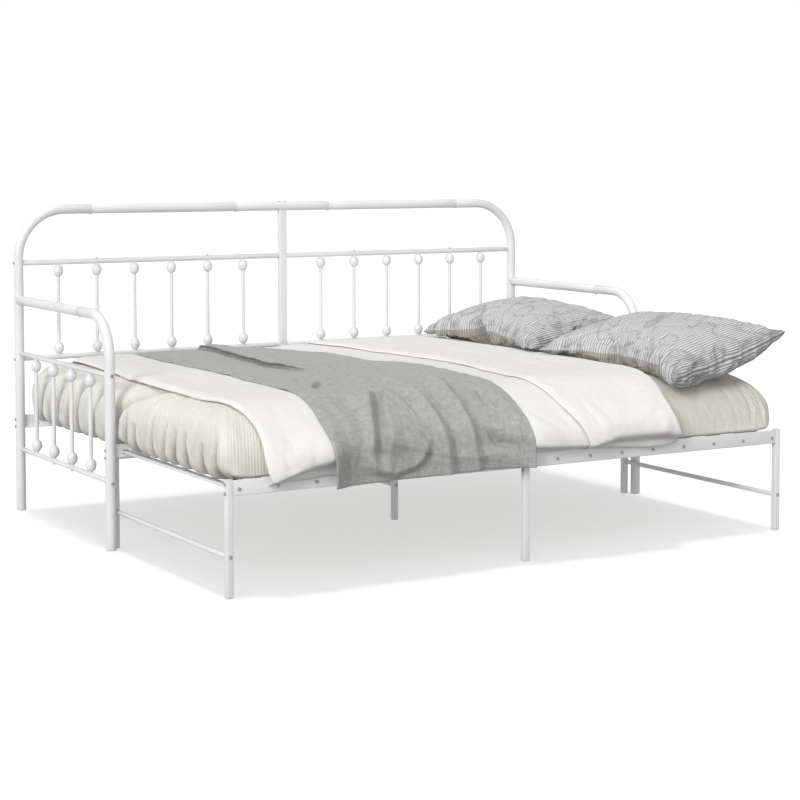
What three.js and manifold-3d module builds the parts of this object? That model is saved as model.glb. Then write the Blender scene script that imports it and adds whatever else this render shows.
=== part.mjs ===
// Pull-out daybed: a tubular steel sofa frame with a spindle back and two spindle arms,
// a second slatted frame that slides out from under it to make a double bed, and its bedding.
// Millimetres, +Z up. Construction frame: X along the bed from the left post axis, Y towards
// the back from the arms' front post axis, Z from the floor. The last group moves that frame
// so that the origin is at the bottom centre of the whole object's box.
import * as THREE from "three";
import { mergeVertices } from "three/addons/utils/BufferGeometryUtils.js";
import Module from "manifold-3d";

const wasm = await Module();
wasm.setup();

// ---- driving dimensions ----
const GAP = 0.3; // clearance between touching pieces
const LENGTH = 2060; // left to right post axes, for a mattress 2000 long
const DEPTH = 826.6; // arm front post axis to rear post axis
const PULL_DEPTH = 797; // arm front post axis to the pull-out's front leg axis
const TUBE_R = 17; // posts, arch and arm tubes
const ARCH_Z = 1052; // axis of the back's top bar
const ARCH_BEND = 170; // bend radius of the back's upper corners
const ARCH_JOINT = 267.5; // where each bent corner meets the top bar
const TOP_JOINT = 837.5; // where the side top bars meet the centre one
const MID_Z = 866.8; // axis of the back's upper cross rail
const LOW_Z = 533; // axis of the back's lower cross rail
const BACK_RAIL_R = 9.5;
const POST_W = 30; // centre back post, along X
const POST_D = 20; // centre back post, along Y
const ARM_Z = 738; // axis of the arm's top tube
const ARM_BEND = 140; // bend radius of the arm's front corner
const ARM_JOINT = 250; // where the bent front post meets the arm's top tube
const ARM_UP_Z = 552.5;
const ARM_LOW_Z = 217;
const ARM_RAIL_R = 8.5;
const ROD_R = 6.5; // spindle rod
const BALL_R = 18; // spindle knob, radius and half height
const BALL_H = 21.5;
const KNOB_IN = 31; // knob centre to rail axis
const BACK_FIRST = 145.5; // first back spindle, and the step between them
const BACK_STEP = 144.2;
const ARM_STEP = 165.3;
const RAIL_Z0 = 290; // seat rails, bottom and top
const RAIL_Z1 = 335;
const RAIL_T = 3;
const FLANGE = 17;
const LEG = 20; // square legs
const LEG_TOP = 337;
const LEG_X = 28; // pull-out leg axis from the post axis
const PULL_REAR_Y = 30; // axis of the pull-out's rear legs, when pulled out
const PULL_REAR_Z0 = 283.3;
const PULL_REAR_Z1 = 303.7;
const SLAT_W = 24;
const SLAT_Z0 = 304;
const SLAT_Z1 = 313.5;
const SLAT_STEP = 123.2;
const PULL_SLAT_FIRST = 55.4;
const SEAT_SLAT_FIRST = 117;
const LOW_BAR_R = 8;
const LOW_BAR_Z = 117.5;
const CENTRE_BAR_Z = 120;
const CENTRE_X = LENGTH / 2;

// bedding
const MATT_X0 = 24, MATT_X1 = 2036, MATT_Y0 = -797, MATT_Y1 = 799, MATT_Z0 = 338, MATT_Z1 = 520;
const MATT_EDGE = 50;
const DUVET_X0 = 118, DUVET_X1 = 1636, DUVET_FLAP_X = 1205, DUVET_HEM = 320, FLAP_HEM = 334;
const THROW_X0 = 325, THROW_X1 = 1090, THROW_HEM = 294;
const Y_MIN = -845.6, Y_MAX = DEPTH + TUBE_R;

// ---- materials ----
const mat = (color, roughness, metalness = 0) => new THREE.MeshStandardMaterial({ color, roughness, metalness });
const WHITE = mat(0xeeeeef, 0.38, 0.1);
const TICKING = mat(0xe6e2d6, 0.9);
const LINEN_WHITE = mat(0xf2f0eb, 0.9);
const LINEN_GREY = mat(0x9c9d98, 0.95);
const STRIPE_GREY = mat(0xb9babb, 0.9);

// ---- helpers ----
const v = (x, y, z) => new THREE.Vector3(x, y, z);

// A path given by its stations, so that straight runs take one step and bends take several.
class StationPath extends THREE.Curve {
  constructor(points) {
    super();
    this.points = points;
    this.tangents = points.map((p, i) => {
      const a = points[Math.max(i - 1, 0)], b = points[Math.min(i + 1, points.length - 1)];
      if (i === 0 || i === points.length - 1) return b.clone().sub(a).normalize();
      return p.clone().sub(a).normalize().add(b.clone().sub(p).normalize()).normalize();
    });
  }
  at(list, t) {
    const f = Math.min(Math.max(t, 0), 1) * (list.length - 1), i = Math.min(Math.floor(f + 1e-9), list.length - 2);
    return list[i].clone().lerp(list[i + 1], Math.min(Math.max(f - i, 0), 1));
  }
  getPoint(t) { return this.at(this.points, t); }
  getTangent(t) { return this.at(this.tangents, t).normalize(); }
  getUtoTmapping(u) { return u; }
}
const roundShape = (r, sides) => {
  const s = new THREE.Shape();
  for (let i = 0; i <= sides; i++) {
    const a = (i / sides) * Math.PI * 2;
    if (i === 0) s.moveTo(r * Math.cos(a), r * Math.sin(a));
    else s.lineTo(r * Math.cos(a), r * Math.sin(a));
  }
  return s;
};
const tubeAlong = (points, r, sides = 14) =>
  new THREE.ExtrudeGeometry(roundShape(r, sides), { steps: points.length - 1, extrudePath: new StationPath(points), bevelEnabled: false });

const root = new THREE.Group();
const frame = new THREE.Group(); // construction frame
frame.position.set(-CENTRE_X, -(Y_MIN + Y_MAX) / 2, 0);
root.add(frame);
const add = (name, geometry, material, place) => {
  const m = new THREE.Mesh(geometry, material);
  m.name = name;
  if (place) m.position.set(...place);
  frame.add(m);
  return m;
};
// round bar between two points, along one axis
const bar = (name, a, b, r, material = WHITE, sides = 12) => {
  const d = v(...b).sub(v(...a)), g = new THREE.CylinderGeometry(r, r, d.length(), sides);
  const m = new THREE.Mesh(g, material);
  m.name = name;
  m.position.copy(v(...a).add(v(...b)).multiplyScalar(0.5));
  m.quaternion.setFromUnitVectors(v(0, 1, 0), d.normalize());
  frame.add(m);
  return m;
};
const boxGeo = (x0, x1, y0, y1, z0, z1) => new THREE.BoxGeometry(x1 - x0, y1 - y0, z1 - z0).translate((x0 + x1) / 2, (y0 + y1) / 2, (z0 + z1) / 2);
const block = (name, x0, x1, y0, y1, z0, z1, material = WHITE) => add(name, boxGeo(x0, x1, y0, y1, z0, z1), material);

const solid = (g) => {
  const p = (g.index ? g.toNonIndexed() : g).clone();
  p.deleteAttribute("normal");
  p.deleteAttribute("uv");
  const m = mergeVertices(p, 1e-3);
  return new wasm.Manifold(new wasm.Mesh({ numProp: 3, vertProperties: new Float32Array(m.attributes.position.array), triVerts: new Uint32Array(m.index.array) }));
};
const geoOf = (s) => {
  const m = s.getMesh(), g = new THREE.BufferGeometry();
  g.setAttribute("position", new THREE.BufferAttribute(new Float32Array(m.vertProperties), 3));
  g.setIndex(new THREE.BufferAttribute(new Uint32Array(m.triVerts), 1));
  g.computeVertexNormals();
  return g;
};
const unite = (list) => list.map(solid).reduce((a, b) => a.add(b));

// ---- back: arch, centre post, cross rails, spindles ----
function backPost(side) {
  const s = side === "left" ? 1 : -1, x0 = side === "left" ? 0 : LENGTH, pts = [v(x0, DEPTH, 0), v(x0, DEPTH, ARCH_Z - ARCH_BEND)];
  for (let i = 1; i <= 9; i++) {
    const a = (i / 9) * Math.PI / 2;
    pts.push(v(x0 + s * ARCH_BEND * (1 - Math.cos(a)), DEPTH, ARCH_Z - ARCH_BEND + ARCH_BEND * Math.sin(a)));
  }
  pts.push(v(x0 + s * (ARCH_JOINT - GAP / 2), DEPTH, ARCH_Z));
  add("back_post_" + side, tubeAlong(pts, TUBE_R), WHITE);
}
backPost("left");
backPost("right");
const g2 = GAP / 2;
bar("top_rail_left", [ARCH_JOINT + g2, DEPTH, ARCH_Z], [TOP_JOINT - g2, DEPTH, ARCH_Z], TUBE_R, WHITE, 14);
bar("top_rail_centre", [TOP_JOINT + g2, DEPTH, ARCH_Z], [LENGTH - TOP_JOINT - g2, DEPTH, ARCH_Z], TUBE_R, WHITE, 14);
bar("top_rail_right", [LENGTH - TOP_JOINT + g2, DEPTH, ARCH_Z], [LENGTH - ARCH_JOINT - g2, DEPTH, ARCH_Z], TUBE_R, WHITE, 14);
block("back_centre_post", CENTRE_X - POST_W / 2, CENTRE_X + POST_W / 2, DEPTH - POST_D / 2, DEPTH + POST_D / 2, RAIL_Z1 + GAP, ARCH_Z - TUBE_R - GAP);
for (const [tag, z] of [["mid", MID_Z], ["lower", LOW_Z]]) {
  bar(`back_${tag}_rail_left`, [TUBE_R + GAP, DEPTH, z], [CENTRE_X - POST_W / 2 - GAP, DEPTH, z], BACK_RAIL_R);
  bar(`back_${tag}_rail_right`, [CENTRE_X + POST_W / 2 + GAP, DEPTH, z], [LENGTH - TUBE_R - GAP, DEPTH, z], BACK_RAIL_R);
}
// turned profile of a rod with a knob near each end, closed on its own axis
function spindleGeo(z0, z1, k0, k1) {
  const p = [[0, z0], [ROD_R, z0]];
  for (const k of [k0, k1]) {
    for (let i = 0; i <= 6; i++) {
      const a = -Math.PI / 2 + 0.36 + (i / 6) * (Math.PI - 0.72);
      p.push([BALL_R * Math.cos(a), k + BALL_H * Math.sin(a)]);
    }
  }
  p.push([ROD_R, z1], [0, z1]);
  return new THREE.LatheGeometry(p.map(([r, z]) => new THREE.Vector2(r, z)), 8).rotateX(Math.PI / 2);
}
const backSpindle = spindleGeo(LOW_Z + BACK_RAIL_R + GAP, MID_Z - BACK_RAIL_R - GAP, LOW_Z + KNOB_IN, MID_Z - KNOB_IN);
for (let k = 0; k < 12; k++) {
  const x = k < 6 ? BACK_FIRST + BACK_STEP * k : LENGTH - BACK_FIRST - BACK_STEP * (11 - k);
  add(`back_spindle_${k + 1}`, backSpindle, WHITE, [x, DEPTH, 0]);
}

// ---- arms ----
function arm(side) {
  const x = side === "left" ? 0 : LENGTH, pts = [v(x, 0, 0), v(x, 0, ARM_Z - ARM_BEND)];
  for (let i = 1; i <= 8; i++) {
    const a = (i / 8) * Math.PI / 2;
    pts.push(v(x, ARM_BEND * (1 - Math.cos(a)), ARM_Z - ARM_BEND + ARM_BEND * Math.sin(a)));
  }
  pts.push(v(x, ARM_JOINT - g2, ARM_Z));
  add(`arm_${side}_front_post`, tubeAlong(pts, TUBE_R), WHITE);
  bar(`arm_${side}_top_tube`, [x, ARM_JOINT + g2, ARM_Z], [x, DEPTH - TUBE_R - GAP, ARM_Z], TUBE_R, WHITE, 14);
  bar(`arm_${side}_upper_rail`, [x, TUBE_R + GAP, ARM_UP_Z], [x, DEPTH - TUBE_R - GAP, ARM_UP_Z], ARM_RAIL_R);
  bar(`arm_${side}_lower_rail`, [x, TUBE_R + GAP, ARM_LOW_Z], [x, DEPTH - TUBE_R - GAP, ARM_LOW_Z], ARM_RAIL_R);
  const g = spindleGeo(ARM_LOW_Z + ARM_RAIL_R + GAP, ARM_UP_Z - ARM_RAIL_R - GAP, ARM_LOW_Z + KNOB_IN, ARM_UP_Z - KNOB_IN);
  for (let k = 1; k <= 4; k++) add(`arm_${side}_spindle_${k}`, g, WHITE, [x, ARM_STEP * k, 0]);
}
arm("left");
arm("right");

// ---- seat frame ----
// angle rail: a web y0..y0+RAIL_T with a flange at its foot that runs to yf
const angle = (x0, x1, y0, yf) => [boxGeo(x0, x1, y0, y0 + RAIL_T, RAIL_Z0, RAIL_Z1), boxGeo(x0, x1, Math.min(y0, yf), Math.max(y0 + RAIL_T, yf), RAIL_Z0, RAIL_Z0 + RAIL_T)];
const slatXs = (first) => [...Array(8).keys()].flatMap((k) => [first + SLAT_STEP * k, LENGTH - first - SLAT_STEP * k]);
const slat = (x, y0, y1, drop = 0) => boxGeo(x - SLAT_W / 2, x + SLAT_W / 2, y0, y1, SLAT_Z0 - drop, SLAT_Z1 - drop);
const PULL_FRONT_Y = -PULL_DEPTH - LEG / 2;

// rear rail and the slats welded to it, reaching the front rail's inner face
add("seat_slat_frame", geoOf(unite([
  ...angle(TUBE_R + GAP, LENGTH - TUBE_R - GAP, DEPTH - RAIL_T / 2, DEPTH - RAIL_T / 2 - FLANGE),
  ...slatXs(SEAT_SLAT_FIRST).map((x) => slat(x, RAIL_T / 2 + GAP, DEPTH - RAIL_T / 2 + 1)),
])), WHITE);
// front rail, with a window for each slat of the pull-out
add("seat_front_rail", geoOf(slatXs(PULL_SLAT_FIRST).reduce(
  (s, x) => s.subtract(solid(boxGeo(x - SLAT_W / 2 - 2, x + SLAT_W / 2 + 2, -10, 10, SLAT_Z0 - 2, SLAT_Z1 + 2))),
  unite(angle(TUBE_R + GAP, LENGTH - TUBE_R - GAP, -RAIL_T / 2, RAIL_T / 2 + FLANGE)))), WHITE);
const legAt = (name, x, y, z1) => block(name, x - LEG / 2, x + LEG / 2, y - LEG / 2, y + LEG / 2, 0, z1);
legAt("seat_centre_leg_front", CENTRE_X + 3, 0, RAIL_Z0 - GAP);
legAt("seat_centre_leg_rear", CENTRE_X + 3, 817, RAIL_Z0 - GAP);
bar("seat_centre_leg_bar", [CENTRE_X + 3, LEG / 2 + GAP, CENTRE_BAR_Z], [CENTRE_X + 3, 817 - LEG / 2 - GAP, CENTRE_BAR_Z], LOW_BAR_R);

// ---- pull-out frame, drawn fully out ----
const PX0 = LEG_X + LEG / 2, PX1 = LENGTH - LEG_X - LEG / 2;
add("pull_out_front_rail", geoOf(unite(angle(PX0 + GAP, PX1 - GAP, PULL_FRONT_Y, PULL_FRONT_Y + RAIL_T + FLANGE))), WHITE);
add("pull_out_slat_frame", geoOf(unite([
  boxGeo(PX0 + GAP, PX1 - GAP, PULL_REAR_Y - LEG / 2, PULL_REAR_Y + LEG / 2, PULL_REAR_Z0, PULL_REAR_Z1),
  ...slatXs(PULL_SLAT_FIRST).map((x) => slat(x, PULL_FRONT_Y + RAIL_T + GAP, PULL_REAR_Y + LEG / 2, 0.8)),
])), WHITE);
for (const [side, x] of [["left", LEG_X], ["right", LENGTH - LEG_X]]) {
  legAt(`pull_out_leg_front_${side}`, x, -PULL_DEPTH, LEG_TOP);
  legAt(`pull_out_leg_rear_${side}`, x, PULL_REAR_Y, PULL_REAR_Z1);
  bar(`pull_out_leg_bar_${side}`, [x, -PULL_DEPTH + LEG / 2 + GAP, LOW_BAR_Z], [x, PULL_REAR_Y - LEG / 2 - GAP, LOW_BAR_Z], LOW_BAR_R);
}
legAt("pull_out_centre_leg", CENTRE_X, -PULL_DEPTH, RAIL_Z0 - GAP);

// ---- bedding: plain closed solids of the right size and place ----
// a section in Y and Z, extruded along X
const sectionX = (pts, x0, x1) => {
  const s = new THREE.Shape(pts.map(([y, z]) => new THREE.Vector2(y, z)));
  // the section's own x is Y and its y is Z: turn (y, z, x) into (x, y, z)
  const g = new THREE.ExtrudeGeometry(s, { depth: x1 - x0, bevelEnabled: false, steps: 1 });
  const m = new THREE.Matrix4().set(0, 0, 1, x0, 1, 0, 0, 0, 0, 1, 0, 0, 0, 0, 0, 1);
  return g.applyMatrix4(m);
};
const arc = (cy, cz, r, a0, a1, n) => [...Array(n + 1).keys()].map((i) => {
  const a = a0 + ((a1 - a0) * i) / n;
  return [cy + r * Math.cos(a), cz + r * Math.sin(a)];
});
const PI = Math.PI, CY = MATT_Y0 + MATT_EDGE, CZ = MATT_Z1 - MATT_EDGE;
add("mattress", sectionX([
  ...arc(CY, CZ, MATT_EDGE, PI, PI / 2, 5), ...arc(MATT_Y1 - MATT_EDGE, CZ, MATT_EDGE, PI / 2, 0, 5),
  ...arc(MATT_Y1 - 30, MATT_Z0 + 30, 30, 0, -PI / 2, 3), ...arc(MATT_Y0 + 30, MATT_Z0 + 30, 30, -PI / 2, -PI, 3),
], MATT_X0, MATT_X1), TICKING);
// a cover that lies on the mattress and hangs in front of it: rin and rout are its radii round the mattress's edge
const coverSection = (rin, rout, fin, fout, back, hem) => {
  const inner = arc(CY, CZ, rin, PI * 0.75, PI / 2, 4), outer = arc(CY, CZ, rout, PI / 2, PI * 0.75, 4);
  const li = inner[0], lo = outer[outer.length - 1];
  return [
    [back, CZ + rin], [back, CZ + rout], ...outer, [fout, lo[1] - (lo[0] - fout)], [fout, hem], [fin, hem], [fin, li[1] - (li[0] - fin)], ...inner,
  ];
};
add("duvet", geoOf(solid(sectionX(coverSection(50.6, 71, -812, -835, 792, DUVET_HEM), DUVET_X0, DUVET_X1))
  .add(solid(sectionX(coverSection(60, 82, -820, Y_MIN, 788, FLAP_HEM), DUVET_FLAP_X, DUVET_X1 + 4)))), LINEN_WHITE);
add("throw", sectionX(coverSection(71.7, 80, -835.7, Y_MIN, 780, THROW_HEM), THROW_X0, THROW_X1), LINEN_GREY);
// a pillow: a sphere squared off in plan and tapered to its seam, cut flat where it rests
function pillow(name, x, y, z, a, b, t, tilt) {
  const g = new THREE.SphereGeometry(1, 28, 16), p = g.attributes.position;
  for (let i = 0; i < p.count; i++) {
    const d = v(p.getX(i), p.getY(i), p.getZ(i)).normalize();
    const h = Math.hypot(d.x, d.y), c = h > 1e-9 ? d.x / h : 1, s = h > 1e-9 ? d.y / h : 0;
    const k = 1 / Math.pow(Math.pow(Math.abs(c), 4.5) + Math.pow(Math.abs(s), 4.5), 1 / 4.5);
    const m = h < 1e-6 ? 0 : Math.pow(h, 0.8);
    p.setXYZ(i, a * k * c * m, b * k * s * m, t * Math.sign(d.z) * Math.pow(Math.abs(d.z), 1.15));
  }
  g.rotateY(-tilt).translate(x, y, z);
  const s = solid(g)
    .subtract(solid(boxGeo(x - 500, x + 500, y - 500, y + 500, z - 400, MATT_Z1 + 0.6)))
    .subtract(solid(boxGeo(x - 500, DUVET_X1 + 4.6, y - 500, y + 500, z - 400, CZ + 82.6)));
  add(name, geoOf(s), STRIPE_GREY);
}
pillow("pillow_rear", 1797, 336, 603, 239, 358, 96, 0.075);
pillow("pillow_front", 1806, -446, 603, 232, 386, 96, 0.12);

export default root;
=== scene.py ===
import bpy
import bmesh
import math
import numpy as np
from mathutils import Vector, Matrix


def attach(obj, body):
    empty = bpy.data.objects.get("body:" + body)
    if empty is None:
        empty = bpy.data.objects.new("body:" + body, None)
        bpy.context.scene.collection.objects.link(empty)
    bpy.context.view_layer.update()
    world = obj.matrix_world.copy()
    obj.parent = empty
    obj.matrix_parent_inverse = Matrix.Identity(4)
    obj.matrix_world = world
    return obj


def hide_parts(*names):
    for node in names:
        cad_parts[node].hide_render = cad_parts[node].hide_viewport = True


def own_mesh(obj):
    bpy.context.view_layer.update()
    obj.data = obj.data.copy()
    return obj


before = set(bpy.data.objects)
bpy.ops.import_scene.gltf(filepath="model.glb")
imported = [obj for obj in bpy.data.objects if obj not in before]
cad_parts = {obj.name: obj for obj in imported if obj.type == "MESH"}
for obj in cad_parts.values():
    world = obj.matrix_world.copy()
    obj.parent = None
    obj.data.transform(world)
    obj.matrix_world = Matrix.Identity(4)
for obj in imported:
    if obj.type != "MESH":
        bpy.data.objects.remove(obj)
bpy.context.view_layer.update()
scene = bpy.context.scene

# The shapes below are written in the construction frame (metres): X along the bed from the left
# post axis, Y towards the back from the arms' front post axis, Z from the floor.
OX, OY = -1.030, 0.001
SHIFT = np.array([OX, OY, 0.0])
PI = math.pi

LENGTH, DEPTH, PULL = 2.060, 0.8266, 0.797
TUBE_R, ARCH_Z, ARCH_BEND, ARCH_JOINT, TOP_JOINT = 0.017, 1.052, 0.170, 0.2675, 0.8375
MID_Z, LOW_Z, BACK_RAIL_R = 0.8668, 0.533, 0.0095
ARM_Z, ARM_BEND, ARM_JOINT, ARM_UP_Z, ARM_LOW_Z, ARM_RAIL_R = 0.738, 0.140, 0.250, 0.5525, 0.217, 0.0085
ROD_R, BALL_R, BALL_H, KNOB_IN = 0.0065, 0.018, 0.0215, 0.031
RAIL_Z0, RAIL_Z1, RAIL_T, FLANGE = 0.290, 0.335, 0.003, 0.017
LEG, LEG_TOP, LEG_X = 0.020, 0.337, 0.028
GAP = 0.0003


# ------------------------------------------------------------------ noise
def hash01(j, seed):
    h = (j * 668265263 + seed * 974634777 + 374761393) & 0xFFFFFFFF
    h = ((h ^ (h >> 13)) * 1274126177) & 0xFFFFFFFF
    h = ((h ^ (h >> 15)) * 2246822519) & 0xFFFFFFFF
    return (h ^ (h >> 16)) / 4294967295.0


def vnoise(x, y, seed=0):
    """Smooth lattice noise in -1..1."""
    x, y = np.broadcast_arrays(np.asarray(x, float), np.asarray(y, float))
    i, j = np.floor(x).astype(np.int64), np.floor(y).astype(np.int64)
    fx, fy = x - i, y - j
    fx, fy = fx ** 3 * (fx * (fx * 6 - 15) + 10), fy ** 3 * (fy * (fy * 6 - 15) + 10)

    def c(a, b):
        return hash01(((a * 73856093) ^ (b * 19349663)) & 0xFFFFFFFF, seed)

    v = (c(i, j) * (1 - fx) + c(i + 1, j) * fx) * (1 - fy) + (c(i, j + 1) * (1 - fx) + c(i + 1, j + 1) * fx) * fy
    return v * 2 - 1


def fbm(x, y, seed=0, octaves=3):
    out, a, k = 0.0, 1.0, 1.0
    for o in range(octaves):
        out = out + a * vnoise(np.asarray(x) * k, np.asarray(y) * k, seed + 17 * o)
        a, k = a * 0.5, k * 2.03
    return out


def smooth(a, b, x):
    t = np.clip((np.asarray(x, float) - a) / (b - a), 0, 1)
    return t * t * (3 - 2 * t)


# ------------------------------------------------------------------ materials
def new_mat(name):
    m = bpy.data.materials.new(name)
    m.use_nodes = True
    nt = m.node_tree
    nt.nodes.clear()
    out = nt.nodes.new("ShaderNodeOutputMaterial")
    b = nt.nodes.new("ShaderNodeBsdfPrincipled")
    nt.links.new(b.outputs["BSDF"], out.inputs["Surface"])
    return m, nt, b


def node(nt, kind, **props):
    n = nt.nodes.new(kind)
    for k, val in props.items():
        if k in n.inputs:
            n.inputs[k].default_value = val
        else:
            setattr(n, k, val)
    return n


def coords(nt, scale, source="Object", loc=(0, 0, 0)):
    if source == "UV":
        tc = node(nt, "ShaderNodeUVMap")
        out = tc.outputs["UV"]
    else:
        tc = node(nt, "ShaderNodeTexCoord")
        out = tc.outputs[source]
    mp = node(nt, "ShaderNodeMapping")
    mp.inputs["Scale"].default_value = scale
    mp.inputs["Location"].default_value = loc
    nt.links.new(out, mp.inputs["Vector"])
    return mp.outputs["Vector"]


def noise_tex(nt, vec, scale=1.0, detail=2.0, rough=0.5):
    n = node(nt, "ShaderNodeTexNoise", Scale=scale, Detail=detail, Roughness=rough)
    nt.links.new(vec, n.inputs["Vector"])
    return n.outputs["Fac"]


def math_node(nt, op, a, b=None, c=None, clamp=False):
    n = node(nt, "ShaderNodeMath", operation=op)
    n.use_clamp = clamp
    for k, val in enumerate((a, b, c)):
        if val is None:
            continue
        if isinstance(val, (int, float)):
            n.inputs[k].default_value = val
        else:
            nt.links.new(val, n.inputs[k])
    return n.outputs[0]


def ramp(nt, fac, stops):
    r = node(nt, "ShaderNodeValToRGB")
    el = r.color_ramp.elements
    while len(el) > 1:
        el.remove(el[-1])
    el[0].position, el[0].color = stops[0][0], (*stops[0][1], 1)
    for p, c in stops[1:]:
        e = el.new(p)
        e.color = (*c, 1)
    nt.links.new(fac, r.inputs["Fac"])
    return r.outputs["Color"]


def mix_col(nt, fac, a, b, blend="MIX"):
    m = node(nt, "ShaderNodeMix", data_type="RGBA", blend_type=blend)
    for sock, val in ((m.inputs[0], fac), (m.inputs[6], a), (m.inputs[7], b)):
        if isinstance(val, (int, float)):
            sock.default_value = val
        elif isinstance(val, tuple):
            sock.default_value = (*val, 1) if len(val) == 3 else val
        else:
            nt.links.new(val, sock)
    return m.outputs[2]


def bump(nt, height, strength, distance, normal=None):
    b = node(nt, "ShaderNodeBump", Strength=strength, Distance=distance)
    nt.links.new(height, b.inputs["Height"])
    if normal is not None:
        nt.links.new(normal, b.inputs["Normal"])
    return b.outputs["Normal"]


def steel_white():
    m, nt, b = new_mat("white_powder_coat")
    v = coords(nt, (1, 1, 1))
    cloud = noise_tex(nt, v, 9.0, 3.0)
    peel = noise_tex(nt, v, 620.0, 2.0, 0.6)
    fine = noise_tex(nt, v, 1900.0, 1.0)
    col = ramp(nt, cloud, [(0.30, (0.765, 0.770, 0.778)), (0.70, (0.815, 0.818, 0.822))])
    nt.links.new(col, b.inputs["Base Color"])
    r = math_node(nt, "MULTIPLY_ADD", peel, 0.10, 0.27)
    nt.links.new(math_node(nt, "MULTIPLY_ADD", cloud, 0.08, r), b.inputs["Roughness"])
    n1 = bump(nt, peel, 0.10, 0.0006)
    nt.links.new(bump(nt, fine, 0.05, 0.0003, n1), b.inputs["Normal"])
    b.inputs["Specular IOR Level"].default_value = 0.5
    b.inputs["Coat Weight"].default_value = 0.25
    b.inputs["Coat Roughness"].default_value = 0.18
    return m


def bolt_metal():
    m, nt, b = new_mat("zinc_plated_bolt")
    v = coords(nt, (1, 1, 1))
    n = noise_tex(nt, v, 260.0, 3.0)
    nt.links.new(ramp(nt, n, [(0.3, (0.30, 0.31, 0.33)), (0.7, (0.44, 0.45, 0.47))]), b.inputs["Base Color"])
    nt.links.new(math_node(nt, "MULTIPLY_ADD", n, 0.25, 0.25), b.inputs["Roughness"])
    nt.links.new(bump(nt, n, 0.15, 0.0004), b.inputs["Normal"])
    b.inputs["Metallic"].default_value = 0.75
    return m


def plug_plastic():
    m, nt, b = new_mat("plastic_foot_plug")
    v = coords(nt, (1, 1, 1))
    n = noise_tex(nt, v, 700.0, 2.0)
    nt.links.new(ramp(nt, n, [(0.3, (0.60, 0.60, 0.60)), (0.7, (0.68, 0.68, 0.68))]), b.inputs["Base Color"])
    nt.links.new(math_node(nt, "MULTIPLY_ADD", n, 0.15, 0.45), b.inputs["Roughness"])
    nt.links.new(bump(nt, n, 0.2, 0.0004), b.inputs["Normal"])
    return m


def weave(nt, pitch, uv=True):
    """Height of a plain weave with threads pitch metres apart, from the UVs in metres."""
    src = node(nt, "ShaderNodeUVMap")
    sep = node(nt, "ShaderNodeSeparateXYZ")
    nt.links.new(src.outputs["UV"], sep.inputs[0])
    k = 2 * PI / pitch
    a = math_node(nt, "SINE", math_node(nt, "MULTIPLY", sep.outputs[0], k))
    c = math_node(nt, "SINE", math_node(nt, "MULTIPLY", sep.outputs[1], k))
    return math_node(nt, "MULTIPLY", a, c), sep


def linen(name, dark, light, pitch, slub, rough=0.92, cross=None, sheen=0.15, bump_d=0.0005, mottle=(0.30, 0.70)):
    m, nt, b = new_mat(name)
    w, sep = weave(nt, pitch)
    warp = noise_tex(nt, coords(nt, (640, 26, 1), "UV"), 1.0, 3.0, 0.6)
    weft = noise_tex(nt, coords(nt, (26, 640, 1), "UV", (3.1, 7.7, 0)), 1.0, 3.0, 0.6)
    blot = noise_tex(nt, coords(nt, (60, 60, 1), "UV", (1.7, 0.3, 0)), 1.0, 4.0, 0.6)
    thread = math_node(nt, "ADD", math_node(nt, "MULTIPLY", warp, 0.5), math_node(nt, "MULTIPLY", weft, 0.5))
    fac = math_node(nt, "ADD", math_node(nt, "MULTIPLY", thread, slub), math_node(nt, "MULTIPLY", blot, 1 - slub))
    col = ramp(nt, fac, [(mottle[0], dark), (mottle[1], light)])
    nt.links.new(col, b.inputs["Base Color"])
    nt.links.new(math_node(nt, "MULTIPLY_ADD", thread, -0.12, rough), b.inputs["Roughness"])
    h = math_node(nt, "ADD", math_node(nt, "MULTIPLY", w, 0.35), thread)
    n = bump(nt, h, 0.45, bump_d)
    crumple = noise_tex(nt, coords(nt, (26, 26, 1), "UV", (0.4, 0.9, 0)), 1.0, 4.0, 0.55)
    nt.links.new(bump(nt, crumple, 0.35, 0.0035, n), b.inputs["Normal"])
    b.inputs["Sheen Weight"].default_value = sheen
    b.inputs["Sheen Roughness"].default_value = 0.5
    b.inputs["Specular IOR Level"].default_value = 0.2
    return m


def stripe_fac(nt, axis_socket, pitch, sharp, offset=0.0):
    """0 between the stripes, 1 on them: a thin line each pitch metres."""
    ph = math_node(nt, "MULTIPLY_ADD", axis_socket, 2 * PI / pitch, offset)
    s = math_node(nt, "MULTIPLY_ADD", math_node(nt, "SINE", ph), 0.5, 0.5)
    return math_node(nt, "POWER", s, sharp)


def paint_crease_shade(nt, color, amount, shade_tint):
    """Paints shade into a cloth's deep creases: mixes its colour towards a dark shade tint by the mesh's own
    painted-shade values.
    """
    at = node(nt, "ShaderNodeAttribute")
    at.attribute_name = "painted_crease_shade"
    return mix_col(nt, math_node(nt, "MULTIPLY", at.outputs["Fac"], amount, clamp=True), color, shade_tint)


# stores, per vertex, how much painted shade the cloth materials put there
def set_crease_shade(o, values):
    a = o.data.attributes.new("painted_crease_shade", "FLOAT", "POINT")
    a.data.foreach_set("value", np.nan_to_num(np.clip(values, 0, 1)).astype(np.float32))


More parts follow.
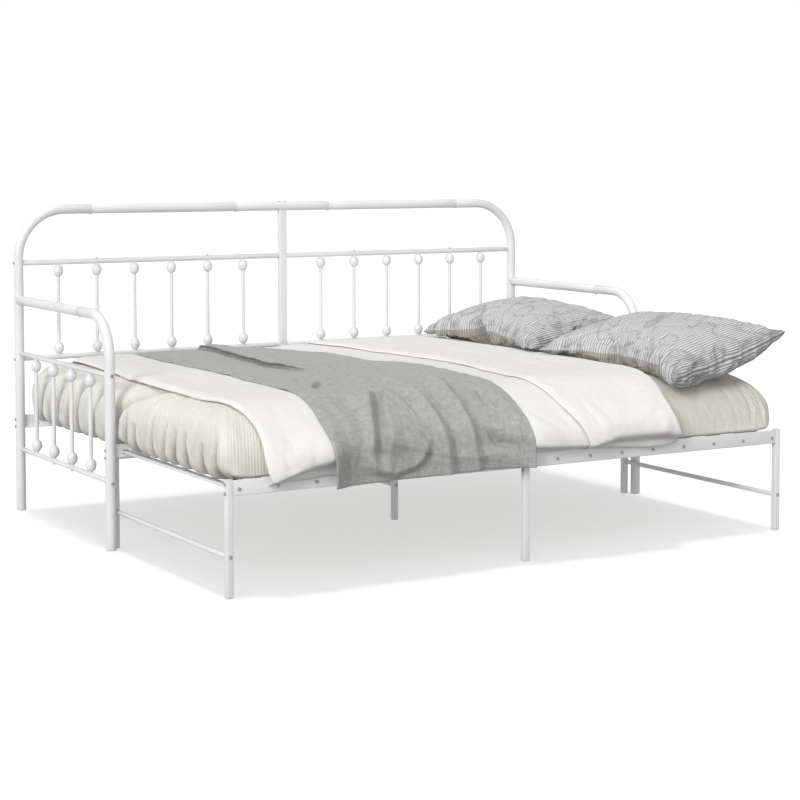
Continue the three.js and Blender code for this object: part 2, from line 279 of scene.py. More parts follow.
def ticking():
    m, nt, b = new_mat("striped_ticking")
    w, sep = weave(nt, 0.0016)
    blot = noise_tex(nt, coords(nt, (40, 40, 1), "UV"), 1.0, 3.0)
    wob = noise_tex(nt, coords(nt, (3, 30, 1), "UV", (2, 5, 0)), 1.0, 2.0)
    ax = math_node(nt, "MULTIPLY_ADD", wob, 0.004, sep.outputs[0])
    st = stripe_fac(nt, ax, 0.0094, 2.2)
    st2 = stripe_fac(nt, ax, 0.0282, 5.0, 1.1)
    base = ramp(nt, blot, [(0.25, (0.720, 0.706, 0.652)), (0.75, (0.768, 0.755, 0.704))])
    # the stripes are fainter on the ends
    fade = node(nt, "ShaderNodeMapRange")
    for k_, v_ in (("From Min", 5.45), ("From Max", 5.62), ("To Min", 0.56), ("To Max", 0.14)):
        fade.inputs[k_].default_value = v_
    nt.links.new(sep.outputs[0], fade.inputs["Value"])
    a = mix_col(nt, math_node(nt, "MULTIPLY", st, fade.outputs[0]), base, (0.600, 0.555, 0.430))
    c = mix_col(nt, math_node(nt, "MULTIPLY", st2, 0.22), a, (0.56, 0.57, 0.49))
    # painted shade: the cover's colour is darkened towards a dark brown in its gathers and creases
    c = paint_crease_shade(nt, c, 0.85, (0.235, 0.222, 0.180))
    nt.links.new(c, b.inputs["Base Color"])
    b.inputs["Roughness"].default_value = 0.88
    nt.links.new(math_node(nt, "MULTIPLY_ADD", blot, 0.1, 0.84), b.inputs["Roughness"])
    crk = noise_tex(nt, coords(nt, (150, 26, 1), "UV", (1.2, 3.4, 0)), 1.0, 4.0, 0.6)
    h = math_node(nt, "ADD", math_node(nt, "MULTIPLY", st, -0.5), crk)
    n1 = bump(nt, w, 0.25, 0.0003)
    nt.links.new(bump(nt, h, 0.55, 0.0022, n1), b.inputs["Normal"])
    b.inputs["Sheen Weight"].default_value = 0.1
    b.inputs["Specular IOR Level"].default_value = 0.2
    return m


def pillow_stripes(name, ground_d, ground_l, line, amount):
    m, nt, b = new_mat(name)
    w, sep = weave(nt, 0.0015)
    blot = noise_tex(nt, coords(nt, (70, 70, 1), "UV"), 1.0, 4.0, 0.6)
    wob = noise_tex(nt, coords(nt, (40, 6, 1), "UV", (2, 5, 0)), 1.0, 2.0)
    ax = math_node(nt, "MULTIPLY_ADD", wob, 0.004, sep.outputs[1])
    st = stripe_fac(nt, ax, 0.0100, 1.6)
    base = ramp(nt, blot, [(0.25, ground_d), (0.75, ground_l)])
    more = node(nt, "ShaderNodeMapRange")
    for k_, v_ in (("From Min", 0.03), ("From Max", 0.20), ("To Min", min(0.98, amount * 1.45)), ("To Max", amount)):
        more.inputs[k_].default_value = v_
    nt.links.new(sep.outputs[1], more.inputs["Value"])
    c = mix_col(nt, math_node(nt, "MULTIPLY", st, more.outputs[0]), base, line)
    # painted shade: the pillow's colour is darkened towards near-black in its crumples
    nt.links.new(paint_crease_shade(nt, c, 0.68, (0.160, 0.160, 0.162)), b.inputs["Base Color"])
    nt.links.new(math_node(nt, "MULTIPLY_ADD", blot, 0.1, 0.82), b.inputs["Roughness"])
    crk = noise_tex(nt, coords(nt, (55, 55, 1), "UV", (1.2, 3.4, 0)), 1.0, 4.0, 0.65)
    n1 = bump(nt, w, 0.25, 0.0003)
    nt.links.new(bump(nt, crk, 0.45, 0.004, n1), b.inputs["Normal"])
    b.inputs["Sheen Weight"].default_value = 0.1
    b.inputs["Specular IOR Level"].default_value = 0.2
    return m


STEEL = steel_white()
BOLT = bolt_metal()
PLUG = plug_plastic()
TICKING = ticking()
DUVET = linen("white_linen", (0.735, 0.722, 0.695), (0.815, 0.805, 0.780), 0.0013, 0.55, sheen=0.1, bump_d=0.0004)
THROW = linen("grey_linen", (0.255, 0.255, 0.240), (0.480, 0.480, 0.455), 0.0022, 0.72, sheen=0.2, bump_d=0.0009, mottle=(0.36, 0.64))
PILLOW_TOP = pillow_stripes("pillow_stripe", (0.565, 0.565, 0.57), (0.665, 0.665, 0.67), (0.17, 0.175, 0.185), 0.68)
# the pillow's lower panel: a darker, warmer copy of the same stripe, painted shade with a painted warm bounce light
PILLOW_SHADED_UNDERSIDE = pillow_stripes("pillow_stripe_painted_shade", (0.35, 0.338, 0.295), (0.43, 0.418, 0.37), (0.14, 0.135, 0.115), 0.6)


# ------------------------------------------------------------------ mesh helpers
def make(name, verts, faces, mats, angle=35, uv=None, face_uv=None, face_mat=None):
    me = bpy.data.meshes.new(name)
    co = np.asarray(verts, float) + SHIFT
    me.from_pydata(co.tolist(), [], [list(map(int, f)) for f in faces])
    for m in (mats if isinstance(mats, (list, tuple)) else [mats]):
        me.materials.append(m)
    if face_mat is not None:
        me.polygons.foreach_set("material_index", np.asarray(face_mat, np.int32))
    if uv is not None or face_uv is not None:
        layer = me.uv_layers.new(name="UVMap")
        if face_uv is not None:
            flat = np.asarray([c for f in face_uv for c in f], float)
        else:
            li = np.zeros(len(me.loops), np.int32)
            me.loops.foreach_get("vertex_index", li)
            flat = np.asarray(uv, float)[li]
        layer.data.foreach_set("uv", flat.ravel())
    me.shade_smooth()
    if angle < 180:
        me.set_sharp_from_angle(angle=math.radians(angle))
    me.update()
    o = bpy.data.objects.new(name, me)
    scene.collection.objects.link(o)
    return o


def bake_mods(o):
    """Replaces the object's mesh by what its modifiers make of it."""
    bpy.context.view_layer.update()
    dg = bpy.context.evaluated_depsgraph_get()
    me = bpy.data.meshes.new_from_object(o.evaluated_get(dg), preserve_all_data_layers=True, depsgraph=dg)
    old = o.data
    o.modifiers.clear()
    o.data = me
    me.name = o.name
    if old.users == 0:
        bpy.data.meshes.remove(old)
    return o


class Build:
    """Gathers several closed shells into one mesh."""

    def __init__(self):
        self.v, self.f, self.n, self.mi = [], [], 0, []

    def add(self, verts, faces, mat=0):
        verts = np.asarray(verts, float)
        self.v.append(verts)
        self.f += [[i + self.n for i in f] for f in faces]
        self.mi += [mat] * len(faces)
        self.n += len(verts)
        return self

    def done(self, name, mats, angle=35):
        return make(name, np.concatenate(self.v), self.f, mats, angle, face_mat=self.mi)


def rings_to_shell(rings):
    """Closed shell from rings of equal size, flat ends."""
    n = len(rings[0])
    v = np.concatenate(rings)
    f = []
    for k in range(len(rings) - 1):
        a, b = k * n, (k + 1) * n
        f += [[a + i, a + (i + 1) % n, b + (i + 1) % n, b + i] for i in range(n)]
    f.append(list(range(n))[::-1])
    f.append([(len(rings) - 1) * n + i for i in range(n)])
    return v, f


def tube(path, r, sides=36, chamfer=0.0007):
    """Round tube along a path, with its end edges broken."""
    p = np.asarray(path, float)
    t = np.gradient(p, axis=0)
    d = np.diff(p, axis=0)
    d /= np.linalg.norm(d, axis=1)[:, None]
    t[0], t[-1] = d[0], d[-1]
    if len(d) > 1:
        t[1:-1] = d[:-1] + d[1:]
    t /= np.linalg.norm(t, axis=1)[:, None]
    ref = np.array([0, 0, 1.0]) if abs(t[0][2]) < 0.9 else np.array([1.0, 0, 0])
    u = np.cross(t[0], ref)
    u /= np.linalg.norm(u)
    ang = np.arange(sides) / sides * 2 * PI
    rings = []

    def ring(c, tt, uu, rr):
        w = np.cross(tt, uu)
        return c + rr * (np.cos(ang)[:, None] * uu + np.sin(ang)[:, None] * w)

    frames = []
    for k in range(len(p)):
        u = u - t[k] * (u @ t[k])
        u /= np.linalg.norm(u)
        frames.append(u.copy())
    c = chamfer
    rings.append(ring(p[0], t[0], frames[0], r - c))
    rings.append(ring(p[0] + t[0] * c * 0.35, t[0], frames[0], r - c * 0.3))
    rings.append(ring(p[0] + t[0] * c, t[0], frames[0], r))
    for k in range(1, len(p) - 1):
        rings.append(ring(p[k], t[k], frames[k], r))
    rings.append(ring(p[-1] - t[-1] * c, t[-1], frames[-1], r))
    rings.append(ring(p[-1] - t[-1] * c * 0.35, t[-1], frames[-1], r - c * 0.3))
    rings.append(ring(p[-1], t[-1], frames[-1], r - c))
    return rings_to_shell(rings)


def lathe(profile, origin, axis="z", sides=36):
    """Closed shell of a profile of (radius, height), turned about an axis through origin."""
    ang = np.arange(sides) / sides * 2 * PI
    rings = []
    for r, h in profile:
        ring = np.c_[r * np.cos(ang), r * np.sin(ang), np.full(sides, h)]
        rings.append(ring)
    v, f = rings_to_shell(rings)
    return v + np.asarray(origin, float), f


def rot_to(v, direction):
    """Turns points from +Z to a direction."""
    q = Vector((0, 0, 1)).rotation_difference(Vector(direction))
    m = np.array(q.to_matrix())
    return np.asarray(v) @ m.T


def soft_box(x0, x1, y0, y1, z0, z1, r=0.0015, seg=3):
    """A box with rounded edges: an outline with round corners, closed by smaller rings."""
    def outline(ins):
        rr = max(r - ins, 1e-5)
        out = []
        for cx, cy, a0 in ((x1 - r, y1 - r, 0), (x0 + r, y1 - r, 90), (x0 + r, y0 + r, 180), (x1 - r, y0 + r, 270)):
            for k in range(seg + 1):
                a = math.radians(a0 + 90 * k / seg)
                out.append((cx + rr * math.cos(a), cy + rr * math.sin(a)))
        return np.array(out)

    rings = []
    for k in range(seg + 1):
        a = PI / 2 * k / seg
        rings.append(np.c_[outline(r * (1 - math.sin(a))), np.full(4 * (seg + 1), z0 + r * (1 - math.cos(a)))])
    for k in range(seg + 1):
        a = PI / 2 * k / seg
        rings.append(np.c_[outline(r * (1 - math.cos(a))), np.full(4 * (seg + 1), z1 - r * (1 - math.sin(a)))])
    return rings_to_shell(rings)


def swap_axes(v, order):
    return np.asarray(v)[:, order]


def bar_box(x0, x1, y0, y1, z0, z1, r=0.0015, along="z"):
    """soft_box whose long edges run along the given axis."""
    if along == "z":
        return soft_box(x0, x1, y0, y1, z0, z1, r)
    if along == "x":
        v, f = soft_box(y0, y1, z0, z1, x0, x1, r)
        return swap_axes(v, [2, 0, 1]), f
    v, f = soft_box(z0, z1, x0, x1, y0, y1, r)
    return swap_axes(v, [1, 2, 0]), f


def register(o, body, slot, *nodes):
    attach(o, body)
    if nodes:
        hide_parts(*nodes)
    return o


# ------------------------------------------------------------------ steel frame
def steel_tube(name, path, r, body="main_frame", sides=36, chamfer=0.0007):
    o = Build().add(*tube(path, r, sides, chamfer)).done(name + "_fine", STEEL)
    return register(o, body, "white_steel", name)


def lerp_pts(a, b, n):
    a, b = np.array(a, float), np.array(b, float)
    return [a + (b - a) * i / n for i in range(n + 1)]


def back_post(side):
    s, x0 = (1, 0.0) if side == "left" else (-1, LENGTH)
    pts = lerp_pts((x0, DEPTH, 0.004), (x0, DEPTH, ARCH_Z - ARCH_BEND), 6)
    for i in range(1, 33):
        a = i / 32 * PI / 2
        pts.append(np.array([x0 + s * ARCH_BEND * (1 - math.cos(a)), DEPTH, ARCH_Z - ARCH_BEND + ARCH_BEND * math.sin(a)]))
    pts.append(np.array([x0 + s * (ARCH_JOINT - GAP / 2), DEPTH, ARCH_Z]))
    steel_tube("back_post_" + side, pts, TUBE_R, sides=48)


back_post("left")
back_post("right")
g2 = GAP / 2
for nm, a, b in (("left", ARCH_JOINT + g2, TOP_JOINT - g2), ("centre", TOP_JOINT + g2, LENGTH - TOP_JOINT - g2), ("right", LENGTH - TOP_JOINT + g2, LENGTH - ARCH_JOINT - g2)):
    steel_tube("top_rail_" + nm, lerp_pts((a, DEPTH, ARCH_Z), (b, DEPTH, ARCH_Z), 4), TUBE_R, sides=48, chamfer=0.0012)
o = Build().add(*bar_box(LENGTH / 2 - 0.015, LENGTH / 2 + 0.015, DEPTH - 0.010, DEPTH + 0.010, RAIL_Z1 + GAP, ARCH_Z - TUBE_R + 0.004, 0.0025)).done("back_centre_post_fine", STEEL)
register(o, "main_frame", "white_steel", "back_centre_post")
for tag, z in (("mid", MID_Z), ("lower", LOW_Z)):
    steel_tube(f"back_{tag}_rail_left", lerp_pts((TUBE_R - 0.002, DEPTH, z), (LENGTH / 2 - 0.015 - GAP, DEPTH, z), 4), BACK_RAIL_R)
    steel_tube(f"back_{tag}_rail_right", lerp_pts((LENGTH / 2 + 0.015 + GAP, DEPTH, z), (LENGTH - TUBE_R + 0.002, DEPTH, z), 4), BACK_RAIL_R)


def spindle_profile(z0, z1, k0, k1):
    p = [(ROD_R - 0.0004, z0), (ROD_R, z0 + 0.0004)]
    for which, k in ((0, k0), (1, k1)):
        a0 = -PI / 2 + 0.36
        for i in range(57):
            a = a0 + i / 56 * (PI - 0.72)
            r, h = BALL_R * math.cos(a), BALL_H * math.sin(a)
            # three turned grooves round the lower half of each knob
            for g in (-0.0015, -0.0065, -0.0115):
                r -= 0.00055 * math.exp(-(((h - g) / 0.00075) ** 2))
            p.append((max(r, ROD_R), k + h))
        if which == 0:
            p += [(ROD_R, k0 + BALL_H + 0.002), (ROD_R, k1 - BALL_H - 0.002)]
    p += [(ROD_R, z1 - 0.0004), (ROD_R - 0.0004, z1)]
    return p


def spindle(name, x, y, z0, z1, k0, k1):
    o = Build().add(*lathe(spindle_profile(z0, z1, k0, k1), (x, y, 0), sides=32)).done(name + "_fine", STEEL, 50)
    register(o, "main_frame", "white_steel", name)


for k in range(12):
    x = 0.1455 + 0.1442 * k if k < 6 else LENGTH - 0.1455 - 0.1442 * (11 - k)
    spindle(f"back_spindle_{k + 1}", x, DEPTH, LOW_Z + BACK_RAIL_R - 0.0015, MID_Z - BACK_RAIL_R + 0.0015, LOW_Z + KNOB_IN, MID_Z - KNOB_IN)


def arm(side):
    x = 0.0 if side == "left" else LENGTH
    pts = lerp_pts((x, 0, 0.004), (x, 0, ARM_Z - ARM_BEND), 5)
    for i in range(1, 29):
        a = i / 28 * PI / 2
        pts.append(np.array([x, ARM_BEND * (1 - math.cos(a)), ARM_Z - ARM_BEND + ARM_BEND * math.sin(a)]))
    pts.append(np.array([x, ARM_JOINT - g2, ARM_Z]))
    steel_tube(f"arm_{side}_front_post", pts, TUBE_R, sides=48, chamfer=0.0010)
    steel_tube(f"arm_{side}_top_tube", lerp_pts((x, ARM_JOINT + g2, ARM_Z), (x, DEPTH - TUBE_R + 0.004, ARM_Z), 4), TUBE_R, sides=48, chamfer=0.0010)
    for tag, z in (("upper", ARM_UP_Z), ("lower", ARM_LOW_Z)):
        steel_tube(f"arm_{side}_{tag}_rail", lerp_pts((x, TUBE_R - 0.002, z), (x, DEPTH - TUBE_R + 0.002, z), 4), ARM_RAIL_R)
    for k in range(1, 5):
        spindle(f"arm_{side}_spindle_{k}", x, 0.1653 * k, ARM_LOW_Z + ARM_RAIL_R - 0.0015, ARM_UP_Z - ARM_RAIL_R + 0.0015, ARM_LOW_Z + KNOB_IN, ARM_UP_Z - KNOB_IN)


arm("left")
arm("right")


def square_leg(name, x, y, z1, body, cap=True):
    b = Build()
    b.add(*bar_box(x - LEG / 2, x + LEG / 2, y - LEG / 2, y + LEG / 2, 0.003, z1 - (0.0012 if cap else 0), 0.0022))
    b.add(*bar_box(x - LEG / 2 + 0.0007, x + LEG / 2 - 0.0007, y - LEG / 2 + 0.0007, y + LEG / 2 - 0.0007, 0.0, 0.0034, 0.0010), mat=1)
    if cap:
        b.add(*bar_box(x - LEG / 2 + 0.0008, x + LEG / 2 - 0.0008, y - LEG / 2 + 0.0008, y + LEG / 2 - 0.0008, z1 - 0.0016, z1, 0.0007), mat=1)
    o = b.done(name + "_fine", [STEEL, PLUG])
    return register(o, body, "white_steel", name)


CX = LENGTH / 2
square_leg("seat_centre_leg_front", CX + 0.003, 0.0, RAIL_Z0 - GAP, "main_frame", False)
square_leg("seat_centre_leg_rear", CX + 0.003, 0.817, RAIL_Z0 - GAP, "main_frame", False)
square_leg("pull_out_centre_leg", CX, -PULL, RAIL_Z0 - GAP, "pull_out", False)
for side, x in (("left", LEG_X), ("right", LENGTH - LEG_X)):
    square_leg(f"pull_out_leg_front_{side}", x, -PULL, LEG_TOP, "pull_out")
    square_leg(f"pull_out_leg_rear_{side}", x, 0.030, 0.3037, "pull_out")
    steel_tube(f"pull_out_leg_bar_{side}", lerp_pts((x, -PULL + LEG / 2 - 0.0005, 0.1175), (x, 0.030 - LEG / 2 + 0.0005, 0.1175), 4), 0.008, "pull_out")
steel_tube("seat_centre_leg_bar", lerp_pts((CX + 0.003, LEG / 2 - 0.0005, 0.120), (CX + 0.003, 0.817 - LEG / 2 + 0.0005, 0.120), 4), 0.008)


def angle_rail(x0, x1, y0, yf, windows=()):
    """Pressed angle rail: web at y0..y0+T, flange at its foot towards yf, with a rounded fold. Windows are (x, half width, z0, z1)."""
    inward = 1 if yf > y0 else -1
    ybase = y0 if inward > 0 else y0 + RAIL_T  # outer face of the web
    T, rb = RAIL_T, 0.0035
    prof = [(0.0, RAIL_Z1)]  # outer line of the section, as distance in from the web's outer face and height
    zs = sorted({round(z, 6) for w in windows for z in w[2:4]}, reverse=True)
    prof += [(0.0, z) for z in zs]
    prof += [(0.0, RAIL_Z0 + rb)]
    for k in range(1, 6):
        a = PI / 2 * k / 5
        prof.append((rb * (1 - math.cos(a)), RAIL_Z0 + rb * (1 - math.sin(a))))
    depth = abs(yf - ybase)
    prof.append((depth, RAIL_Z0))
    prof = np.array(prof)
    # inner line: offset by the thickness
    d = np.gradient(prof, axis=0)
    seg = np.diff(prof, axis=0)
    nrm = []
    for k in range(len(prof)):
        a = seg[max(k - 1, 0)] / np.linalg.norm(seg[max(k - 1, 0)])
        b = seg[min(k, len(seg) - 1)] / np.linalg.norm(seg[min(k, len(seg) - 1)])
        t = a + b
        t /= np.linalg.norm(t)
        nrm.append((-t[1], t[0]))
    inner = prof + np.array(nrm) * T
    xs = {x0, x1}
    for w in windows:
        xs |= {w[0] - w[1], w[0] + w[1]}
    xs = sorted(xs)

    def cut(xa, xb, za, zb):
        xm, zm = (xa + xb) / 2, (za + zb) / 2
        return any(abs(xm - w[0]) < w[1] and w[2] < zm < w[3] for w in windows)

    m, n = len(xs), len(prof)
    verts = []
    for line in (prof, inner):
        for x in xs:
            for yy, z in line:
                verts.append((x, ybase + inward * yy, z))
    idx = lambda lay, i, j: lay * m * n + i * n + j
    keep = np.zeros((m - 1, n - 1), bool)
    for i in range(m - 1):
        for j in range(n - 1):
            keep[i, j] = not (windows and abs(prof[j][0]) < 1e-9 and abs(prof[j + 1][0]) < 1e-9 and cut(xs[i], xs[i + 1], prof[j + 1][1], prof[j][1]))
    faces = []
    for i in range(m - 1):
        for j in range(n - 1):
            if not keep[i, j]:
                continue
            a, b, c, e = (i, j), (i + 1, j), (i + 1, j + 1), (i, j + 1)
            faces.append([idx(0, *p) for p in (a, b, c, e)])
            faces.append([idx(1, *p) for p in (e, c, b, a)])
            for (p, q, ii, jj) in ((a, b, i, j - 1), (b, c, i + 1, j), (c, e, i, j + 1), (e, a, i - 1, j)):
                if not (0 <= ii < m - 1 and 0 <= jj < n - 1 and keep[ii, jj]):
                    faces.append([idx(0, *q), idx(0, *p), idx(1, *p), idx(1, *q)])
    used = sorted({i for f in faces for i in f})
    remap = {o: k for k, o in enumerate(used)}
    verts = np.array(verts)[used]
    faces = [[remap[i] for i in f] for f in faces]
    if inward > 0:
        faces = [f[::-1] for f in faces]
    return verts, faces


def bevel_obj(o, width=0.0006, segments=2, angle=40):
    bm = bmesh.new()
    bm.from_mesh(o.data)
    bmesh.ops.recalc_face_normals(bm, faces=bm.faces)
    bm.to_mesh(o.data)
    bm.free()
    m = o.modifiers.new("bevel", "BEVEL")
    m.width, m.segments, m.limit_method, m.angle_limit = width, segments, "ANGLE", math.radians(angle)
    m.harden_normals = False
    bake_mods(o)
    o.data.shade_smooth()
    o.data.set_sharp_from_angle(angle=math.radians(40))
    return o


SLAT_XS_PULL = [0.0554 + 0.1232 * k for k in range(8)]
SLAT_XS_PULL += [LENGTH - x for x in SLAT_XS_PULL[::-1]]
SLAT_XS_SEAT = [0.117 + 0.1232 * k for k in range(8)]
SLAT_XS_SEAT += [LENGTH - x for x in SLAT_XS_SEAT[::-1]]

o = Build().add(*angle_rail(TUBE_R + GAP, LENGTH - TUBE_R - GAP, -RAIL_T / 2, RAIL_T / 2 + FLANGE, [(x, 0.014, 0.302, 0.3155) for x in SLAT_XS_PULL])).done("seat_front_rail_fine", STEEL)
register(bevel_obj(o, 0.0005), "main_frame", "white_steel", "seat_front_rail")
o = Build().add(*angle_rail(0.038 + GAP, LENGTH - 0.038 - GAP, -PULL - 0.010, -PULL - 0.010 + RAIL_T + FLANGE)).done("pull_out_front_rail_fine", STEEL)
register(bevel_obj(o, 0.0006), "pull_out", "white_steel", "pull_out_front_rail")

b = Build()
b.add(*angle_rail(TUBE_R + GAP, LENGTH - TUBE_R - GAP, DEPTH - RAIL_T / 2, DEPTH - RAIL_T / 2 - FLANGE))
rail_faces = len(b.f)
o = b.done("seat_rear_rail_fine", STEEL)
register(bevel_obj(o, 0.0006), "main_frame", "white_steel")
b = Build()
for x in SLAT_XS_SEAT:
    b.add(*bar_box(x - 0.012, x + 0.012, 0.0018, DEPTH - RAIL_T / 2 - 0.0002, 0.304, 0.3135, 0.0020, "y"))
o = b.done("seat_slats_fine", STEEL)
register(o, "main_frame", "white_steel", "seat_slat_frame")
b = Build()
b.add(*bar_box(0.038 + GAP, LENGTH - 0.038 - GAP, 0.020, 0.040, 0.2833, 0.3036, 0.0022, "x"))
for x in SLAT_XS_PULL:
    b.add(*bar_box(x - 0.012, x + 0.012, -PULL - 0.010 + RAIL_T + GAP, 0.040, 0.3032, 0.3127, 0.0020, "y"))
o = b.done("pull_out_slats_fine", STEEL)
register(o, "pull_out", "white_steel", "pull_out_slat_frame")


# foot plugs of the round posts
def round_plug(x, y):
    return lathe([(TUBE_R - 0.0035, 0.0), (TUBE_R - 0.0010, 0.0006), (TUBE_R - 0.0006, 0.0022), (TUBE_R - 0.0006, 0.0046)], (x, y, 0), sides=40)


b = Build()
for x in (0.0, LENGTH):
    for y in (0.0, DEPTH):
        b.add(*round_plug(x, y))
o = b.done("post_foot_plugs", PLUG)
register(o, "main_frame", "white_steel")


def bolt(pos, direction, r=0.0056, h=0.0038):
    """Button-head screw with a hex socket, standing on a face."""
    n, ang = 36, np.arange(36) / 36 * 2 * PI
    hexr = 0.0026
    hx = hexr / np.cos((ang + PI / 6) % (PI / 3) - PI / 6)
    rings = []
    for rr, z in ((r, -0.0015), (r, 0.0005), (r * 0.985, h * 0.30), (r * 0.93, h * 0.55), (r * 0.83, h * 0.78), (r * 0.70, h * 0.93), (r * 0.60, h)):
        rings.append(np.c_[rr * np.cos(ang), rr * np.sin(ang), np.full(n, z)])
    for k, z in ((1.04, h), (1.0, h - 0.0002), (0.98, h - 0.0021)):
        rings.append(np.c_[k * hx * np.cos(ang), k * hx * np.sin(ang), np.full(n, z)])
    v, f = rings_to_shell(rings)
    return rot_to(v, direction) + np.asarray(pos, float), f


def bolts(name, body, items):
    b = Build()
    for pos, d, *rest in items:
        b.add(*bolt(pos, d, *rest))
    o = b.done(name, BOLT, 40)
    return register(o, body, "white_steel")


PF = -PULL - 0.010
pull = [((x, PF, 0.3085), (0, -1, 0)) for x in SLAT_XS_PULL]
for s, x in ((-1, 0.018), (1, LENGTH - 0.018)):
    pull += [((x, -PULL, 0.323), (s, 0, 0)), ((x, -PULL, 0.296), (s, 0, 0))]
    pull += [((x, 0.030, 0.2935), (s, 0, 0), 0.0048, 0.0030)]
for x in (LEG_X, LENGTH - LEG_X):
    pull += [((x, PF, 0.1175), (0, -1, 0)), ((x, 0.040, 0.1175), (0, 1, 0))]
pull += [((CX - 0.010, -PULL, 0.281), (-1, 0, 0), 0.0048, 0.0032), ((CX + 0.010, -PULL, 0.281), (1, 0, 0), 0.0048, 0.0032)]
bolts("pull_out_bolts", "pull_out", pull)
main = [((CX + 0.003, -0.010, 0.120), (0, -1, 0)), ((CX + 0.003, -0.010, 0.281), (0, -1, 0), 0.0048, 0.0032), ((CX + 0.003, 0.827, 0.120), (0, 1, 0))]
for s, x in ((-1, 0.0), (1, LENGTH)):
    for z in (ARM_UP_Z, 0.2135):
        main.append(((x, -TUBE_R, z), (0, -1, 0)))
        main.append(((x, DEPTH + TUBE_R, z), (0, 1, 0), 0.0050, 0.0008))
    for z in (MID_Z, 0.530, 0.319, 0.295):
        main.append(((x + s * TUBE_R, DEPTH, z), (s, 0, 0), 0.0056, 0.0030))
    for z in (0.317, 0.294):
        main.append(((x + s * TUBE_R, 0.0, z), (s, 0, 0), 0.0056, 0.0030))
    for y in (0.3306, 0.4959):
        main.append(((x, y, ARM_LOW_Z - ARM_RAIL_R), (0, 0, -1), 0.0042, 0.0030))
    main.append(((x, ARM_JOINT, ARM_Z - TUBE_R), (0, 0, -1), 0.0036, 0.0022))
for k in (1, 4, 7, 10):
    x = 0.1455 + 0.1442 * k if k < 6 else LENGTH - 0.1455 - 0.1442 * (11 - k)
    main.append(((x, DEPTH, MID_Z + BACK_RAIL_R), (0, 0, 1), 0.0042, 0.0028))
    main.append(((x, DEPTH, LOW_Z - BACK_RAIL_R), (0, 0, -1), 0.0042, 0.0028))
for x in (CX - 0.012, CX + 0.012):
    main.append(((x, DEPTH, ARCH_Z + TUBE_R), (0, 0, 1), 0.0042, 0.0026))
for x in (ARCH_JOINT, TOP_JOINT, LENGTH - TOP_JOINT, LENGTH - ARCH_JOINT):
    main.append(((x, DEPTH, ARCH_Z - TUBE_R), (0, 0, -1), 0.0036, 0.0022))
bolts("main_frame_bolts", "main_frame", main)

# ------------------------------------------------------------------ bedding: shared section
# The mattress's section at mid length: flat top, then a long soft rounding to its front face.
YF, YR, ZT = -0.797, 0.799, 0.520
EA, EB = 0.245, 0.165
YB = 0.790


def _section():
    pts = [(YB, ZT)]
    yc, zc = YF + EA, ZT - EB
    for i in range(241):
        t = PI / 2 * (1 - i / 240)
        pts.append((yc - EA * math.cos(t), zc + EB * math.sin(t)))
    pts.append((YF, 0.24))
    p = np.array(pts)
    d = np.r_[0, np.cumsum(np.hypot(*np.diff(p, axis=0).T))]
    s = np.arange(0, d[-1], 0.002)
    q = np.c_[np.interp(s, d, p[:, 0]), np.interp(s, d, p[:, 1])]
    t = np.gradient(q, axis=0)
    t /= np.linalg.norm(t, axis=1)[:, None]
    n = np.c_[t[:, 1], -t[:, 0]]
    return s, q, n


SEC_S, SEC_Q, SEC_N = _section()
S_BEND = YB - (YF + EA)  # where the top starts to fall
S_WALL = SEC_S[np.argmin(np.abs(SEC_Q[:, 1] - (ZT - EB)))]  # where the front is upright


def hollow(x, z):
    """The mattress gives way a little under the folds of the throw at the front."""
    return 0.030 * smooth(0.400, 0.470, x) * smooth(1.000, 0.930, x) * smooth(0.520, 0.480, z) * smooth(0.340, 0.375, z)


def place(x, s, w, add=0.0145):
    """Point over the mattress: x along the bed, s forward from its back edge over the front, w above its surface."""
    x, s, w = np.broadcast_arrays(*[np.asarray(t, float) for t in (x, s, w)])
    y = np.interp(s, SEC_S, SEC_Q[:, 0])
    z = np.interp(s, SEC_S, SEC_Q[:, 1])
    ny = np.interp(s, SEC_S, SEC_N[:, 0])
    nz = np.interp(s, SEC_S, SEC_N[:, 1])
    l = np.hypot(ny, nz)
    ny, nz = ny / l, nz / l
    e = smooth(0.49, 0.38, z)
    k = np.clip((0.139 - x) / 0.115, 0, 0.95)
    w = w - 0.120 * (1 - np.sqrt(1 - k * k)) * smooth(0.44, 0.50, z)
    w = w - 0.020 * smooth(0.22, 0.13, x) * smooth(0.085, 0.005, s)
    k = np.clip((0.034 - s) / 0.038, 0, 0.95)
    w = w - 0.052 * (1 - np.sqrt(1 - k * k))
    ww = w + add * e - hollow(x, z)
    return np.stack([x, y + ny * ww, z + nz * ww], -1)


def polyline(x, s, pts):
    """Signed distance to a line (positive on its +x side), and the share of the way along it."""
    p = np.array(pts, float)
    best = np.full(np.shape(x), 1e9)
    sign = np.ones(np.shape(x))
    along = np.zeros(np.shape(x))
    L = np.r_[0, np.cumsum(np.hypot(*np.diff(p, axis=0).T))]
    for k in range(len(p) - 1):
        a, b = p[k], p[k + 1]
        d = b - a
        ll = d @ d
        t = np.clip(((x - a[0]) * d[0] + (s - a[1]) * d[1]) / ll, 0, 1)
        dx, ds = x - (a[0] + t * d[0]), s - (a[1] + t * d[1])
        dist = np.hypot(dx, ds)
        c = dx * d[1] - ds * d[0]
        m = dist < best
        best = np.where(m, dist, best)
        sign = np.where(m, np.where(c >= 0, 1.0, -1.0), sign)
        along = np.where(m, (L[k] + t * math.sqrt(ll)) / L[-1], along)
    return best * sign, along


def valley(x, s, pts, depth, width, fade=0.25, ridge=0.0):
    d, t = polyline(x, s, pts)
    k = smooth(0, fade, t) * smooth(1, 1 - fade, t)
    out = -depth * np.exp(-((d / width) ** 2))
    if ridge:
        out = out + abs(ridge) * depth * np.exp(-(((d - np.sign(ridge) * 1.9 * width) / (1.5 * width)) ** 2))
    return out * k


